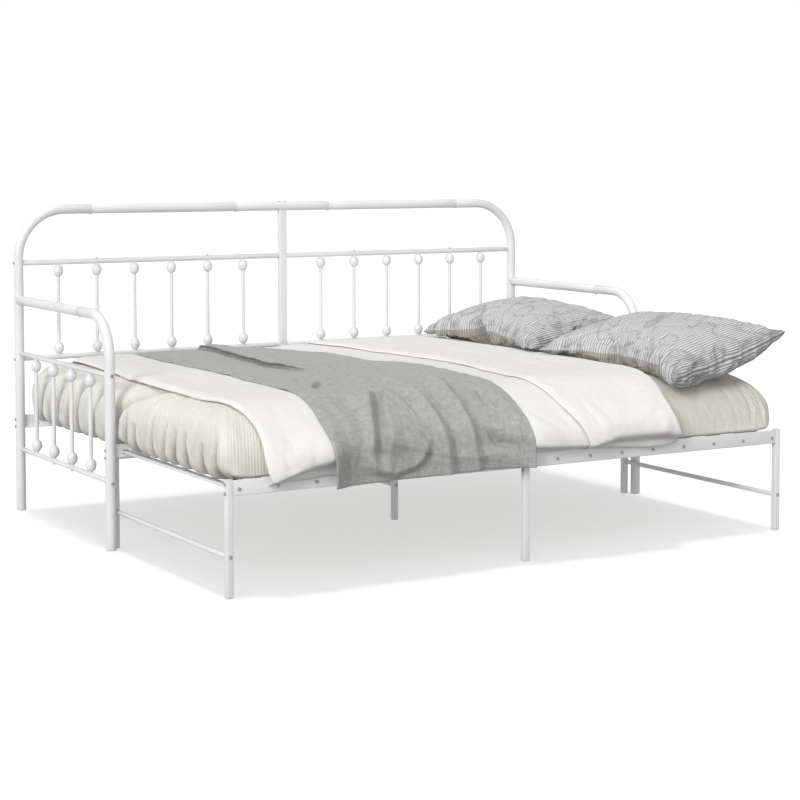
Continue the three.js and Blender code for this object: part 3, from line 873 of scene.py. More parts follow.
def pleat(x, s, pts, height, run, drop, fade=0.2):
    """Rises towards the line from its -x side over run, then falls over drop; negative run and drop turn it round."""
    d, t = polyline(x, s, pts)
    k = smooth(0, fade, t) * smooth(1, 1 - fade, t)
    if run < 0:
        d, run, drop = -d, -run, -drop
    out = np.where(d < 0, np.exp(d / run), 1 - smooth(0, drop, d))
    return height * out * k

# ------------------------------------------------------------------ mattress
MX0, MX1 = 0.024, 2.036


def rrect(x0, x1, y0, y1, r, nx, ny, na):
    """Outline with round corners, counter-clockwise from the left end of the front side, with its outward directions."""
    pts, nrm = [], []

    def line(ax, ay, bx, by, n, nn):
        for k in range(n):
            t = k / n
            pts.append((ax + (bx - ax) * t, ay + (by - ay) * t))
            nrm.append(nn)

    def arc_(cx, cy, a0, n):
        for k in range(n):
            a = math.radians(a0 + 90 * k / n)
            pts.append((cx + r * math.cos(a), cy + r * math.sin(a)))
            nrm.append((math.cos(a), math.sin(a)))

    line(x0 + r, y0, x1 - r, y0, nx, (0, -1))
    arc_(x1 - r, y0 + r, -90, na)
    line(x1, y0 + r, x1, y1 - r, ny, (1, 0))
    arc_(x1 - r, y1 - r, 0, na)
    line(x1 - r, y1, x0 + r, y1, nx, (0, 1))
    arc_(x0 + r, y1 - r, 90, na)
    line(x0, y1 - r, x0, y0 + r, ny, (-1, 0))
    arc_(x0 + r, y0 + r, 180, na)
    return np.array(pts), np.array(nrm)


UPPER_CREASES = [
    [(0.654, 0.515), (0.668, 0.455), (0.678, 0.395), (0.680, 0.350)],
    [(0.478, 0.520), (0.505, 0.462), (0.517, 0.405), (0.512, 0.355)],
    [(0.318, 0.522), (0.350, 0.458), (0.366, 0.400), (0.340, 0.345)],
    [(0.158, 0.518), (0.180, 0.465), (0.197, 0.410), (0.185, 0.350)],
    [(-0.205, 0.590), (-0.110, 0.520), (-0.020, 0.460), (0.010, 0.420), (0.000, 0.350)],
]
LOWER_GATHERS = [0.689, 0.612, 0.528, 0.440, 0.354, 0.224, 0.098, -0.057, -0.135, -0.270, -0.352, -0.425, -0.515, -0.630, -0.716]


def mattress_push(x, y, q, nx, ny, a):
    """How far the cover stands out of the plain form: gathers and puffs of the ends, crumples at the corners."""
    left, right = np.clip(-nx, 0, 1), np.clip(nx, 0, 1)
    front, back = np.clip(-ny, 0, 1), np.clip(ny, 0, 1)
    band = smooth(0.338, 0.375, q) * smooth(0.60, 0.50, q)
    out = np.zeros(np.shape(x))
    # left end
    d = np.zeros(np.shape(x))
    for k, c in enumerate(UPPER_CREASES):
        dist, along = polyline(y, q, c)
        kk = smooth(-0.05, 0.22, along) * smooth(1.0, 0.80, along)
        w = 0.0095 if k < 4 else 0.0125
        # a tight crease: steep on its back side, easier on the other
        wd = np.where(dist < 0, 2.2 * w, w)
        d += -(0.0280 if k < 4 else 0.0300) * np.exp(-np.abs(dist / wd) ** 1.4) * kk
    for k, yy in enumerate(LOWER_GATHERS):
        h = 0.384 + 0.062 * hash01(k * 7 + 3, 5)
        lean = -0.022 * (hash01(k * 11 + 1, 9) - 0.2)
        w = 0.0150 + 0.009 * hash01(k * 5 + 2, 4)
        dist = (y - yy - lean * (q - 0.32) / 0.08) / (w * (1 - 0.35 * smooth(0.32, h, q)))
        k_ = smooth(h + 0.035, 0.352, q)
        d += (-0.0480 * np.exp(-np.abs(dist) ** 1.8) + 0.0050 * np.exp(-((np.abs(dist) - 2.1) / 0.8) ** 2)) * k_
    d += 0.0030 * fbm(y * 14 + q * 5, q * 5, 3, 2) * band
    d += 0.0012 * fbm(y * 70 + q * 12, q * 9, 8, 2) * band
    d += 0.0055 * smooth(0.52, 0.46, q) * smooth(0.33, 0.40, q)
    out += left * np.clip(d, -0.050, 0.0085)
    # right end: finer crumples
    d = 0.0030 * fbm(y * 11 - q * 6, q * 4, 21, 2) * band
    d += -0.0055 * np.abs(fbm(y * 22 + q * 7, q * 6, 31, 2)) * smooth(0.44, 0.33, q)
    d += -0.0040 * np.abs(fbm(y * 34 - q * 14, q * 8, 41, 2)) * smooth(0.36, 0.42, q) * smooth(0.60, 0.50, q)
    out += right * np.clip(d, -0.016, 0.0035)
    # front and back
    shown = np.maximum(smooth(0.150, 0.090, x), smooth(1.58, 1.66, x))
    d = -0.0030 * np.abs(fbm(x * 60 + q * 10, q * 7, 51, 2)) * (0.35 + 0.65 * smooth(1.80, 1.98, x) + 0.3 * smooth(0.12, 0.05, x))
    d += -0.0035 * np.abs(fbm(x * 16 - q * 8, q * 5, 61, 2)) * smooth(0.46, 0.34, q)
    d += -0.0070 * (1 - np.abs(vnoise(x * 34 + 2.0 * vnoise(x * 5, q * 9, 64), q * 5, 63))) ** 2 * smooth(1.74, 1.92, x)
    d += -0.0060 * (1 - np.abs(vnoise(x * 16 + 1.5 * vnoise(x * 4, q * 8, 66), q * 4, 65))) ** 2 * smooth(1.62, 1.86, x)
    d += -0.0075 * (1 - np.abs(vnoise(x * 50 + 1.3 * vnoise(x * 9, q * 16, 68), q * 7, 67))) ** 3 * smooth(1.83, 1.95, x)
    out += front * shown * band * np.clip(d, -0.016, 0.002)
    d = 0.0025 * fbm(x * 9, q * 5, 71, 2) - 0.005 * np.abs(fbm(x * 20 + q * 5, q * 6, 73, 2)) * smooth(0.44, 0.33, q)
    out += back * band * np.clip(d, -0.014, 0.003)
    return out


def build_mattress():
    nx, ny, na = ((230, 340, 14))
    x0, x1, y0, y1 = MX0, MX1, YF, YR
    outer, nrm = rrect(x0, x1, y0, y1, 0.050, nx, ny, na)
    inner, _ = rrect(x0 + 0.115, x1 - 0.125, y0 + EA, y1 - 0.040, 0.030, nx, ny, na)
    N = len(outer)
    arc = np.r_[0, np.cumsum(np.hypot(*(np.roll(outer, -1, 0) - outer).T))]
    arc += x0 + 0.050
    wf, wb = np.clip(-nrm[:, 1], 0, 1) ** 2, np.clip(nrm[:, 1], 0, 1) ** 2
    we = 1 - wf - wb
    bz = EB * wf + 0.055 * wb + 0.120 * we
    z0 = ZT - bz
    rb = 0.012 * wf + 0.030 * wb + 0.040 * we

    def zbot(p):
        x, y = p[:, 0], p[:, 1]
        legs = np.maximum(smooth(0.110, 0.050, x), smooth(1.950, 2.010, x))
        return 0.3190 + 0.0178 * smooth(0.050, 0.012, np.abs(y)) + (0.0150 + 0.0055 * legs) * smooth(-0.725, -0.758, y) + 0.010 * smooth(0.750, 0.790, y)

    rings, qs, kinds = [], [], []
    cen = np.c_[np.clip(outer[:, 0], 0.60, 1.46), np.full(N, 0.001)]

    def emit(p, z, q, kind):
        rings.append(np.c_[p, z])
        qs.append(np.broadcast_to(q, N).copy())
        kinds.append(kind)

    base = outer - nrm * rb[:, None]
    for m in (0.995, 0.75, 0.5, 0.3, 0.15, 0.06, 0.02):
        p = base * (1 - m) + cen * m
        emit(p, zbot(p), 0.30, 0)
    for k in range(7):
        a = PI / 2 * k / 6
        p = outer - nrm * (rb * (1 - math.sin(a)))[:, None]
        zb = zbot(p)
        emit(p, zb + rb * (1 - math.cos(a)), zb + rb * (1 - math.cos(a)), 1)
    for k in range(1, 12):
        zb = zbot(outer) + rb
        z = zb + (z0 - zb) * k / 12
        emit(outer, z, z, 1)
    for k in range(0, 27):
        a = PI / 2 * k / 26
        p = outer + (inner - outer) * (1 - math.cos(a))
        emit(p, z0 + bz * math.sin(a), z0 + 0.125 * a, 1 if k < 26 else 1)
    for m in (0.03, 0.07, 0.12, 0.19, 0.28, 0.4, 0.55, 0.72, 0.88, 0.995):
        p = inner * (1 - m) + cen * m
        emit(p, np.full(N, ZT), 0.62, 2)
    M = len(rings)
    v = np.array(rings)  # M,N,3
    q = np.array(qs)
    up = np.clip((v[:, :, 2] - z0[None, :]) / bz[None, :], 0, 1)
    hor = np.sqrt(np.clip(1 - up ** 2, 0, 1))
    push = mattress_push(v[:, :, 0], v[:, :, 1], q, nrm[None, :, 0] * np.ones((M, 1)), nrm[None, :, 1] * np.ones((M, 1)), arc[None, :-1] * np.ones((M, 1)))
    wall = np.array([1.0 if k == 1 else 0.0 for k in kinds])[:, None]
    push = push * wall
    side = np.clip(-nrm[None, :, 0], 0, 1)
    # painted shade: how much the cover's colour is darkened in its gathers and creases, more towards the bottom and on
    # the left end; the next line paints more shade along the bottom of the left end
    deep = np.clip((-push - 0.001) / 0.020, 0, 1) ** 0.9 * (0.30 + 0.70 * smooth(0.46, 0.37, q)) * (0.25 + 0.75 * side)
    deep = deep + 0.45 * side * wall * smooth(0.365, 0.325, q) * np.clip(0.6 + 0.8 * vnoise(v[:, :, 1] * 24, q * 20, 77), 0, 1)
    push = push - hollow(v[:, :, 0], v[:, :, 2]) * np.clip(-nrm[None, :, 1], 0, 1) * wall
    v[:, :, 0] += nrm[None, :, 0] * push * hor
    v[:, :, 1] += nrm[None, :, 1] * push * hor
    v[:, :, 2] += push * up
    # the top, where it shows beyond the duvet, is a little uneven
    t = wall * 0 + np.array([1.0 if k == 2 or i > M - 20 else 0.0 for i, k in enumerate(kinds)])[:, None]
    v[:, :, 2] -= t * 0.0035 * np.abs(fbm(v[:, :, 0] * 7, v[:, :, 1] * 7, 81, 2)) * smooth(0.50, 0.515, v[:, :, 2])
    v = v.reshape(-1, 3)
    faces, fuv = [], []
    for k in range(M - 1):
        kind = min(kinds[k], kinds[k + 1]) if kinds[k + 1] != 2 else 2
        for i in range(N):
            j = (i + 1) % N
            f = [k * N + i, k * N + j, (k + 1) * N + j, (k + 1) * N + i]
            faces.append(f)
            if kind == 1:
                a0, a1 = arc[i], arc[i + 1]
                fuv.append([(a0, q[k, i]), (a1, q[k, j]), (a1, q[k + 1, j]), (a0, q[k + 1, i])])
            else:
                fuv.append([(v[p][0], v[p][1]) for p in f])
    # the last rings are thin ovals: close them across
    for base_i, flip in ((0, True), ((M - 1) * N, False)):
        lo = list(range(0, nx))  # front side, left to right
        hi = [2 * na + nx + ny + nx - 1 - k for k in range(nx)]  # back side, left to right
        arcR = list(range(nx, nx + na + ny + na))
        arcL = list(range(2 * nx + 2 * na + ny, N))
        for k in range(nx - 1):
            f = [lo[k], lo[k + 1], hi[k + 1], hi[k]]
            f = [base_i + p for p in f]
            faces.append(f[::-1] if flip else f)
            fuv.append([(v[p][0], v[p][1]) for p in faces[-1]])
        for ring in ([lo[-1]] + arcR + [hi[-1]], [hi[0]] + arcL + [lo[0]]):
            f = [base_i + p for p in ring]
            faces.append(f[::-1] if flip else f)
            fuv.append([(v[p][0], v[p][1]) for p in faces[-1]])
    o = make("mattress_soft", v, faces, TICKING, 180, face_uv=fuv)
    set_crease_shade(o, deep.ravel())
    register(o, "main_frame", "mattress_ticking", "mattress")
    return o


# ------------------------------------------------------------------ duvet
def table(s, rows):
    r = np.array(rows)
    return np.interp(s, r[:, 0], r[:, 1])


def x_left(s):
    return table(s, [(0, .160), (.30, .146), (.513, .130), (.764, .110), (1.0, .110), (1.224, .108), (1.341, .110), (1.416, .120), (1.472, .132), (1.53, .137), (1.584, .134), (1.63, .130), (1.659, .134), (1.712, .150)]) + 0.0018 * vnoise(s * 9, 0 * s, 5)


def x_fold(s):
    return table(s, [(0, 1.625), (.7, 1.630), (1.345, 1.614), (1.407, 1.606), (1.476, 1.599), (1.523, 1.588), (1.574, 1.570), (1.614, 1.561), (1.646, 1.564), (1.671, 1.578), (1.705, 1.600)])


def x_flap(s):
    return table(s, [(0, 1.100), (.16, 1.128), (.25, 1.152), (.39, 1.176), (.61, 1.200), (.755, 1.214), (.83, 1.216), (.95, 1.202), (1.153, 1.176), (1.30, 1.152), (1.40, 1.150), (1.47, 1.164), (1.535, 1.176), (1.573, 1.182), (1.616, 1.194), (1.645, 1.210), (1.667, 1.222), (1.70, 1.236)]) + 0.0015 * vnoise(s * 11, 0 * s, 6)


def hem_s(x):
    return table(x, [(0, 1.714), (.146, 1.713), (.25, 1.707), (.34, 1.699), (.8, 1.695), (1.04, 1.693), (1.24, 1.691), (1.30, 1.692), (1.378, 1.698), (1.472, 1.705), (1.541, 1.703), (1.60, 1.695)])


def curl_s(x):
    return table(x, [(0, 1.712), (.150, 1.708), (.176, 1.698), (.238, 1.678), (.284, 1.669), (.34, 1.664), (.8, 1.664), (1.03, 1.672), (1.15, 1.680), (1.24, 1.684), (1.27, 1.676), (1.33, 1.667), (1.52, 1.666), (1.57, 1.673), (1.60, 1.680)])


def half_thick(x):
    hid = smooth(0.37, 0.43, x) * smooth(1.0, 0.94, x)
    return 0.0062 - 0.0008 * smooth(1.06, 1.18, x) - 0.0028 * hid


DUVET_LINES = [
    # (line in x and s, depth, width, side ridge): folds near the front corners and long soft ones on top
    ([(0.150, 1.615), (0.205, 1.650), (0.262, 1.664), (0.318, 1.655)], 0.0045, 0.016, -0.8),
    ([(0.172, 1.690), (0.205, 1.640), (0.222, 1.575)], 0.0035, 0.014, 0.7),
    ([(0.300, 1.600), (0.275, 1.640), (0.262, 1.690)], 0.0030, 0.012, 0.6),
    ([(1.045, 1.560), (1.105, 1.615), (1.165, 1.655), (1.215, 1.672)], 0.0045, 0.012, -0.8),
    ([(1.060, 1.640), (1.120, 1.662), (1.190, 1.684)], 0.0035, 0.011, -0.7),
    ([(1.140, 1.575), (1.175, 1.625), (1.212, 1.668)], 0.0040, 0.010, 0.8),
    ([(0.25, 0.35), (0.22, 0.75), (0.24, 1.10)], 0.0020, 0.030, 0.5),
    ([(1.12, 0.45), (1.10, 0.80), (1.06, 1.20)], 0.0015, 0.020, 0.4),
]
FLAP_LINES = [
    ([(1.250, 1.640), (1.315, 1.655), (1.390, 1.652), (1.480, 1.640)], 0.0045, 0.014, -0.7),
    ([(1.560, 1.560), (1.520, 1.615), (1.470, 1.650)], 0.0040, 0.013, 0.7),
    ([(1.400, 1.690), (1.420, 1.660), (1.470, 1.630), (1.530, 1.600)], 0.0035, 0.010, 0.6),
    ([(1.245, 1.560), (1.262, 1.610), (1.275, 1.665)], 0.0040, 0.010, 0.8),
    ([(1.35, 0.40), (1.40, 0.80), (1.36, 1.20), (1.30, 1.42)], 0.0022, 0.030, 0.5),
    ([(1.50, 0.90), (1.46, 1.15), (1.44, 1.45)], 0.0018, 0.022, 0.5),
]


def drop_form(x, s):
    """How the front of the cover hangs: a soft belly above the line where it turns under."""
    c = curl_s(x)
    k = np.maximum(smooth(0.40, 0.33, x), smooth(0.98, 1.05, x))
    return k * (0.0280 * np.exp(-(((s - (c - 0.013)) / np.where(s < c - 0.013, 0.052, 0.0125)) ** 2)) - 0.0180 * smooth(c - 0.008, c + 0.012, s)) - (1 - k) * 0.004 * smooth(1.45, 1.60, s)


def lower_mid(x, s):
    h = half_thick(x)
    hs = h * (1 + 0.45 * smooth(1.52, 1.62, s)) * edge_round(s - 0.0, hem_s(x) - s, width=0.012, low=0.35)
    pf = smooth(1.47, 1.60, s)
    w = 0.0012 + hs
    w = w + (0.0018 + 0.0018 * fbm(x * 6.5, s * 5.0, 91, 2)) * (1 + 0.8 * pf)
    w = w + 0.0009 * fbm(x * 22, s * 17, 95, 2)
    for pts, dep, wid, rg in DUVET_LINES:
        w = w + valley(x, s, pts, dep, wid, 0.3, rg) * 0.8
    w = np.maximum(w, 0.0008 + hs)
    return w + drop_form(x, s), hs


def edge_round(*ds, width=0.030, low=0.10):
    f = 1.0
    for d in ds:
        t = np.clip(d / width, 0, 1)
        f = f * (low + (1 - low) * np.sqrt(np.clip(1 - (1 - t) ** 2, 0, 1)))
    return f


def grid_shell(top, bot, uv_top):
    """Closed shell from two grids (ns, nu, 3) that meet along a narrow rim."""
    ns, nu = top.shape[:2]
    v = np.concatenate([top.reshape(-1, 3), bot.reshape(-1, 3)])
    uv = np.concatenate([uv_top.reshape(-1, 2), uv_top.reshape(-1, 2)])
    off = ns * nu
    i, j = np.meshgrid(np.arange(ns - 1), np.arange(nu - 1), indexing="ij")
    a = (i * nu + j).ravel()
    b_, c_, d_ = a + 1, a + nu + 1, a + nu
    f = np.c_[a, d_, c_, b_].tolist() + (np.c_[a, b_, c_, d_] + off).tolist()
    rim = list(range(nu)) + [k * nu + nu - 1 for k in range(1, ns)] + [(ns - 1) * nu + k for k in range(nu - 2, -1, -1)] + [k * nu for k in range(ns - 2, 0, -1)]
    for k in range(len(rim)):
        p, q = rim[k], rim[(k + 1) % len(rim)]
        f.append([p, q, q + off, p + off])
    return v, f, uv


def build_duvet():
    nl, nb, nf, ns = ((190, 14, 64, 236))
    # rows are denser over the front
    sv = np.concatenate([np.linspace(0, 1.34, int(ns * 0.52), endpoint=False), np.linspace(1.34, 1.0 * 1.0 + 0.714, ns - int(ns * 0.52))])
    sv = sv / sv[-1]
    # columns: lower layer, fold, flap
    rows_x, rows_w, rows_h, rows_s, rows_n = [], [], [], [], []
    for t in sv:
        # the row's own hem length varies with x, so its s is set point by point
        xr, xl, xf = None, None, None
        s_mid = t * 1.70
        xl, xr, xf = float(x_left(s_mid)), float(x_fold(s_mid)), float(x_flap(s_mid))
        hr = float(half_thick(xr)) * (1 + 0.45 * float(smooth(1.52, 1.62, s_mid))) * float(edge_round(np.array(s_mid), np.array(1.70 - s_mid), width=0.012, low=0.35))
        gap = 0.0008
        rm = hr + gap / 2
        # finer columns near the edges
        def spread(a, b, n, e):
            k = np.linspace(0, 1, n)
            k = k + e * np.sin(2 * PI * k) / (2 * PI) * -1
            return a + (b - a) * k
        lx = spread(xl, xr - rm, nl, 0.75)
        ang = np.linspace(-PI / 2, PI / 2, nb + 2)[1:-1]
        bx = (xr - rm) + rm * np.cos(ang)
        fx = spread(xr - rm, xf, nf, 0.75)
        x = np.concatenate([lx, bx, fx])
        s = t * hem_s(x)
        wl, hl = lower_mid(lx, s[:nl])
        el = edge_round(lx - xl)
        lift = 0.0016 * smooth(0.03, 0.0, lx - xl) * np.clip(vnoise(s[:nl] * 6.0, 0 * lx, 14) + 0.25, 0, 1)
        wl = wl - hl * (1 - el) * 0.9 + lift
        hl = hl * el
        w_end, h_end = wl[-1], hl[-1]
        wb_ = w_end + rm + rm * np.sin(ang)
        hb = np.full(nb, h_end)
        sf = s[nl + nb:]
        und, hh = lower_mid(fx, sf)
        up = und + hh  # top of the layer below
        hf = half_thick(fx) * (1 + 0.45 * smooth(1.52, 1.62, sf)) * edge_round(sf, hem_s(fx) - sf, width=0.012, low=0.35)
        ef = edge_round(fx - xf)
        wf_ = up + gap + hf
        puff = 0.0016 + 0.0016 * fbm(fx * 7.0, sf * 5.0, 101, 2) + 0.0008 * fbm(fx * 24, sf * 18, 103, 2)
        for pts, dep, wid, rg in FLAP_LINES:
            puff = puff + valley(fx, sf, pts, dep, wid, 0.3, rg) * 0.8
        puff = np.maximum(puff, 0.0004) * smooth(0.0, 0.05, (xr - rm) - fx)
        lipl = 0.0012 * np.exp(-(((fx - xf) / 0.020) ** 2)) * (0.35 + 0.65 * np.clip(vnoise(sf * 5.0, 0 * sf, 24) + 0.4, 0, 1)) * (1 + 0.8 * smooth(1.52, 1.60, sf) * smooth(1.69, 1.66, sf))
        wf_ = wf_ + puff * smooth(0.0, 0.035, fx - xf) + lipl - hf * (1 - ef) * 0.85
        hf = hf * ef
        # join the fold to the flap smoothly
        jump = (w_end + 2 * rm) - wf_[0]
        wf_ = wf_ + jump * smooth(0.06, 0.0, (xr - rm) - fx)
        w = np.concatenate([wl, wb_, wf_])
        h = np.concatenate([hl, hb, hf])
        # direction of the sheet in x and w
        tx, tw = np.gradient(x), np.gradient(w)
        l = np.hypot(tx, tw) + 1e-12
        rows_x.append(x)
        rows_w.append(w)
        rows_h.append(h)
        rows_s.append(s)
        rows_n.append(np.c_[-tw / l, tx / l])
    X, W, H, S_, NN = map(np.array, (rows_x, rows_w, rows_h, rows_s, rows_n))
    top = place(X + NN[..., 0] * H, S_, W + NN[..., 1] * H)
    bot = place(X - NN[..., 0] * H, S_, W - NN[..., 1] * H)
    du = np.zeros(X.shape)
    du[:, 1:] = np.cumsum(np.hypot(np.diff(X, axis=1), np.diff(W, axis=1)), axis=1)
    uv = np.stack([X[:, :1] + du, S_], -1)
    v, f, uvv = grid_shell(top, bot, uv)
    o = make("duvet_soft", v, f, DUVET, 180, uv=uvv)
    register(o, "main_frame", "duvet_linen", "duvet")
    return o


# ------------------------------------------------------------------ throw
def t_left(s):
    return table(s, [(0, .392), (.378, .388), (.64, .393), (.97, .368), (1.25, .355), (1.37, .346), (1.5, .338), (1.6, .330), (1.652, .330), (1.735, .335)]) + 0.0012 * vnoise(s * 12, 0 * s, 35)


def t_right(s):
    return table(s, [(0, 1.0), (.41, 1.0), (.60, .988), (.70, 1.002), (.81, 1.062), (.90, 1.078), (.98, 1.080), (1.13, 1.066), (1.24, 1.040), (1.33, 1.024), (1.43, 1.024), (1.53, 1.031), (1.62, 1.026), (1.70, 1.030), (1.735, 1.031)]) + 0.0012 * vnoise(s * 12, 0 * s, 37)


FOLD_A = [(0.655, -0.05), (0.690, 0.09), (0.668, 0.30), (0.648, 0.46), (0.622, 0.70), (0.646, 0.81), (0.672, 0.90)]


def fold_in(x, s, pts, depth, left, right, f0, f1, lip=0.0, power=2.0):
    """A groove along a line, with its own width on each side, and swollen lips beside it."""
    d, t = polyline(x, s, pts)
    k = smooth(0, f0, t) * smooth(1, 1 - f1, t)
    g = -depth * np.exp(-np.abs(d / np.where(d < 0, left, right)) ** power)
    g = g + lip * np.exp(-(((d - 2.4 * right) / (1.6 * right)) ** 2)) + 0.6 * lip * np.exp(-(((d + 2.4 * left) / (1.6 * left)) ** 2))
    return g * k


def throw_folds(x, s):
    """Height of the loose folds of the throw over the cover."""
    front = smooth(1.05, 1.36, s) * smooth(0.0, 0.075, x - t_left(s)) * smooth(0.0, 0.060, t_right(s) - x)
    f = 0.0010 + 0.0080 * front
    # the step of the loose fold near the back
    f = f + pleat(x, s, FOLD_A, 0.0200, -0.085, -0.005, 0.12)
    dA, tA = polyline(x, s, FOLD_A)
    f = f + 0.0085 * np.exp(-(((dA - 0.040) / 0.026) ** 2)) * smooth(0, 0.12, tA) * smooth(1, 0.88, tA)
    # the billows that fan out from the middle of the top over the front edge
    f = f + pleat(x, s, [(0.790, 0.66), (0.700, 0.99), (0.622, 1.27), (0.600, 1.38), (0.590, 1.46)], 0.0100, 0.055, 0.032, 0.30)
    f = f + pleat(x, s, [(0.735, 1.08), (0.692, 1.25), (0.674, 1.40), (0.686, 1.51), (0.698, 1.582), (0.710, 1.639), (0.738, 1.95)], 0.0230, 0.055, 0.050, 0.20)
    f = f + pleat(x, s, [(0.945, 0.90), (0.875, 1.20), (0.816, 1.45), (0.806, 1.55), (0.812, 1.64), (0.862, 1.95)], 0.0220, 0.050, 0.046, 0.20)
    f = f + fold_in(x, s, [(0.722, 1.36), (0.728, 1.50), (0.742, 1.60), (0.756, 1.70), (0.766, 1.80)], 0.0060, 0.014, 0.008, 0.3, 0.0, 0.003)
    f = f + fold_in(x, s, [(0.862, 1.36), (0.848, 1.48), (0.850, 1.58), (0.864, 1.66), (0.898, 1.80)], 0.0060, 0.014, 0.009, 0.3, 0.0, 0.003)
    # the pouch over the front edge: deep fold at its left, drooping fold under it
    deep = [(0.556, 1.390), (0.534, 1.460), (0.490, 1.555), (0.462, 1.635), (0.462, 1.710)]
    f = f + pleat(x, s, deep, 0.0250, 0.075, 0.044, 0.28)
    f = f + pleat(x, s, [(a + 0.060, b) for a, b in deep], 0.0230, -0.130, -0.013, 0.28)
    d = ((x - 0.576) / 0.078) ** 2 + ((s - 1.614) / 0.052) ** 2
    f = f + 0.0100 * np.exp(-(d ** 1.4))
    f = f + pleat(s, -x, [(1.620, -0.672), (1.684, -0.602), (1.700, -0.540), (1.686, -0.480), (1.636, -0.430)], 0.0170, 0.028, 0.026, 0.24)
    # pinch, and the small folds it pulls
    f = f + fold_in(x, s, [(0.415, 1.370), (0.440, 1.330), (0.478, 1.280), (0.552, 1.180)], 0.0170, 0.0110, 0.0085, 0.20, 0.45, 0.008)
    f = f + pleat(x, s, [(0.630, 0.84), (0.600, 1.035), (0.562, 1.165), (0.490, 1.280)], 0.0120, 0.045, 0.022, 0.35)
    f = f + fold_in(x, s, [(0.545, 1.02), (0.500, 1.12), (0.470, 1.20)], 0.0060, 0.014, 0.012, 0.35, 0.35, 0.003)
    f = f + fold_in(x, s, [(0.935, 1.42), (0.955, 1.52), (0.990, 1.60)], 0.0080, 0.013, 0.013, 0.35, 0.35, 0.003)
    f = f + fold_in(x, s, [(0.885, 1.60), (0.925, 1.650), (0.985, 1.670), (1.025, 1.668)], 0.0120, 0.018, 0.014, 0.3, 0.3, 0.005)
    f = f + fold_in(x, s, [(0.620, 1.44), (0.652, 1.52), (0.664, 1.58)], 0.0070, 0.012, 0.012, 0.35, 0.35, 0.003)
    f = f + fold_in(x, s, [(0.768, 1.36), (0.768, 1.48), (0.780, 1.60)], 0.0060, 0.012, 0.012, 0.35, 0.35, 0.003)
    f = f + fold_in(x, s, [(0.375, 1.44), (0.392, 1.53), (0.386, 1.62)], 0.0055, 0.016, 0.014, 0.35, 0.35, 0.003)
    z = np.interp(s, SEC_S, SEC_Q[:, 1])
    f = f * (1 + 0.75 * hollow(x, z) / 0.030)
    # broad unevenness
    f = f + 0.0028 * fbm(x * 9, s * 6, 131, 2) * smooth(0.2, 0.9, s) + 0.0014 * fbm(x * 24, s * 18, 137, 2)
    return f


def build_throw():
    nu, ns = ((216, 320))
    ku = np.linspace(0, 1, nu)
    ku = ku - 0.6 * np.sin(2 * PI * ku) / (2 * PI)
    kv = np.concatenate([np.linspace(0, 0.74, int(ns * 0.55), endpoint=False), np.linspace(0.74, 1, ns - int(ns * 0.55))])
    U, V = np.meshgrid(ku, kv)
    s0 = table(U, [(0, .088), (.06, .035), (.16, .004), (.70, .004), (.80, .075), (.90, .235), (1.0, .405)])
    s1 = table(U, [(0, 1.7305), (.15, 1.7290), (.55, 1.7215), (.75, 1.7190), (.90, 1.7240), (1, 1.7255)])
    S_ = s0 + V * (s1 - s0)
    X = t_left(S_) + U * (t_right(S_) - t_left(S_))
    sc = np.minimum(S_, curl_s(X) - 0.020)
    base, hb = lower_mid(X, sc)
    # the top of the cover below
    under = base + hb
    fold = throw_folds(X, S_)
    th = 0.0017
    k0 = 0.0012
    fold = k0 * np.logaddexp(0, fold / k0)
    W = under + 0.0016 + th + fold + 0.0004 * fbm(X * 50, S_ * 30, 113, 2) + 0.0004
    # cloth turned over at the sides and the foot
    e = np.minimum(np.minimum(X - t_left(S_), t_right(S_) - X), s1 - S_)
    hemw = smooth(0.0150, 0.0120, e)
    stitch = np.exp(-(((e - 0.0110) / 0.0012) ** 2))
    H = th * (1 + 0.30 * hemw - 0.35 * stitch) * edge_round(e, S_ - s0, width=0.003, low=0.25)
    W = W - smooth(0.018, 0.0, np.minimum(e, S_ - s0)) * 0.0022 * smooth(1.62, 1.55, S_)
    # the overhang of the loose fold: its lip lies over what is left of it
    dA, tA = polyline(X, S_, FOLD_A)
    kA = smooth(0, 0.14, tA) * smooth(1, 0.86, tA)
    X2 = X - 0.0320 * kA * smooth(-0.003, 0.006, dA) * np.exp(-(np.clip(dA - 0.006, 0, 1) / 0.035) ** 2)
    P = place(X2, S_, W)
    # outward direction from the grid itself
    gu, gv = np.gradient(P, axis=1), np.gradient(P, axis=0)
    nrm = np.cross(gv, gu)
    nrm /= np.linalg.norm(nrm, axis=-1)[..., None] + 1e-12
    if nrm[ns // 4, nu // 2, 2] < 0:
        nrm = -nrm
    top, bot = P + nrm * H[..., None], P - nrm * H[..., None]
    v, f, uvv = grid_shell(top, bot, np.stack([X, S_], -1))
    o = make("throw_soft", v, f, THROW, 180, uv=uvv)
    register(o, "main_frame", "throw_linen", "throw")
    return o


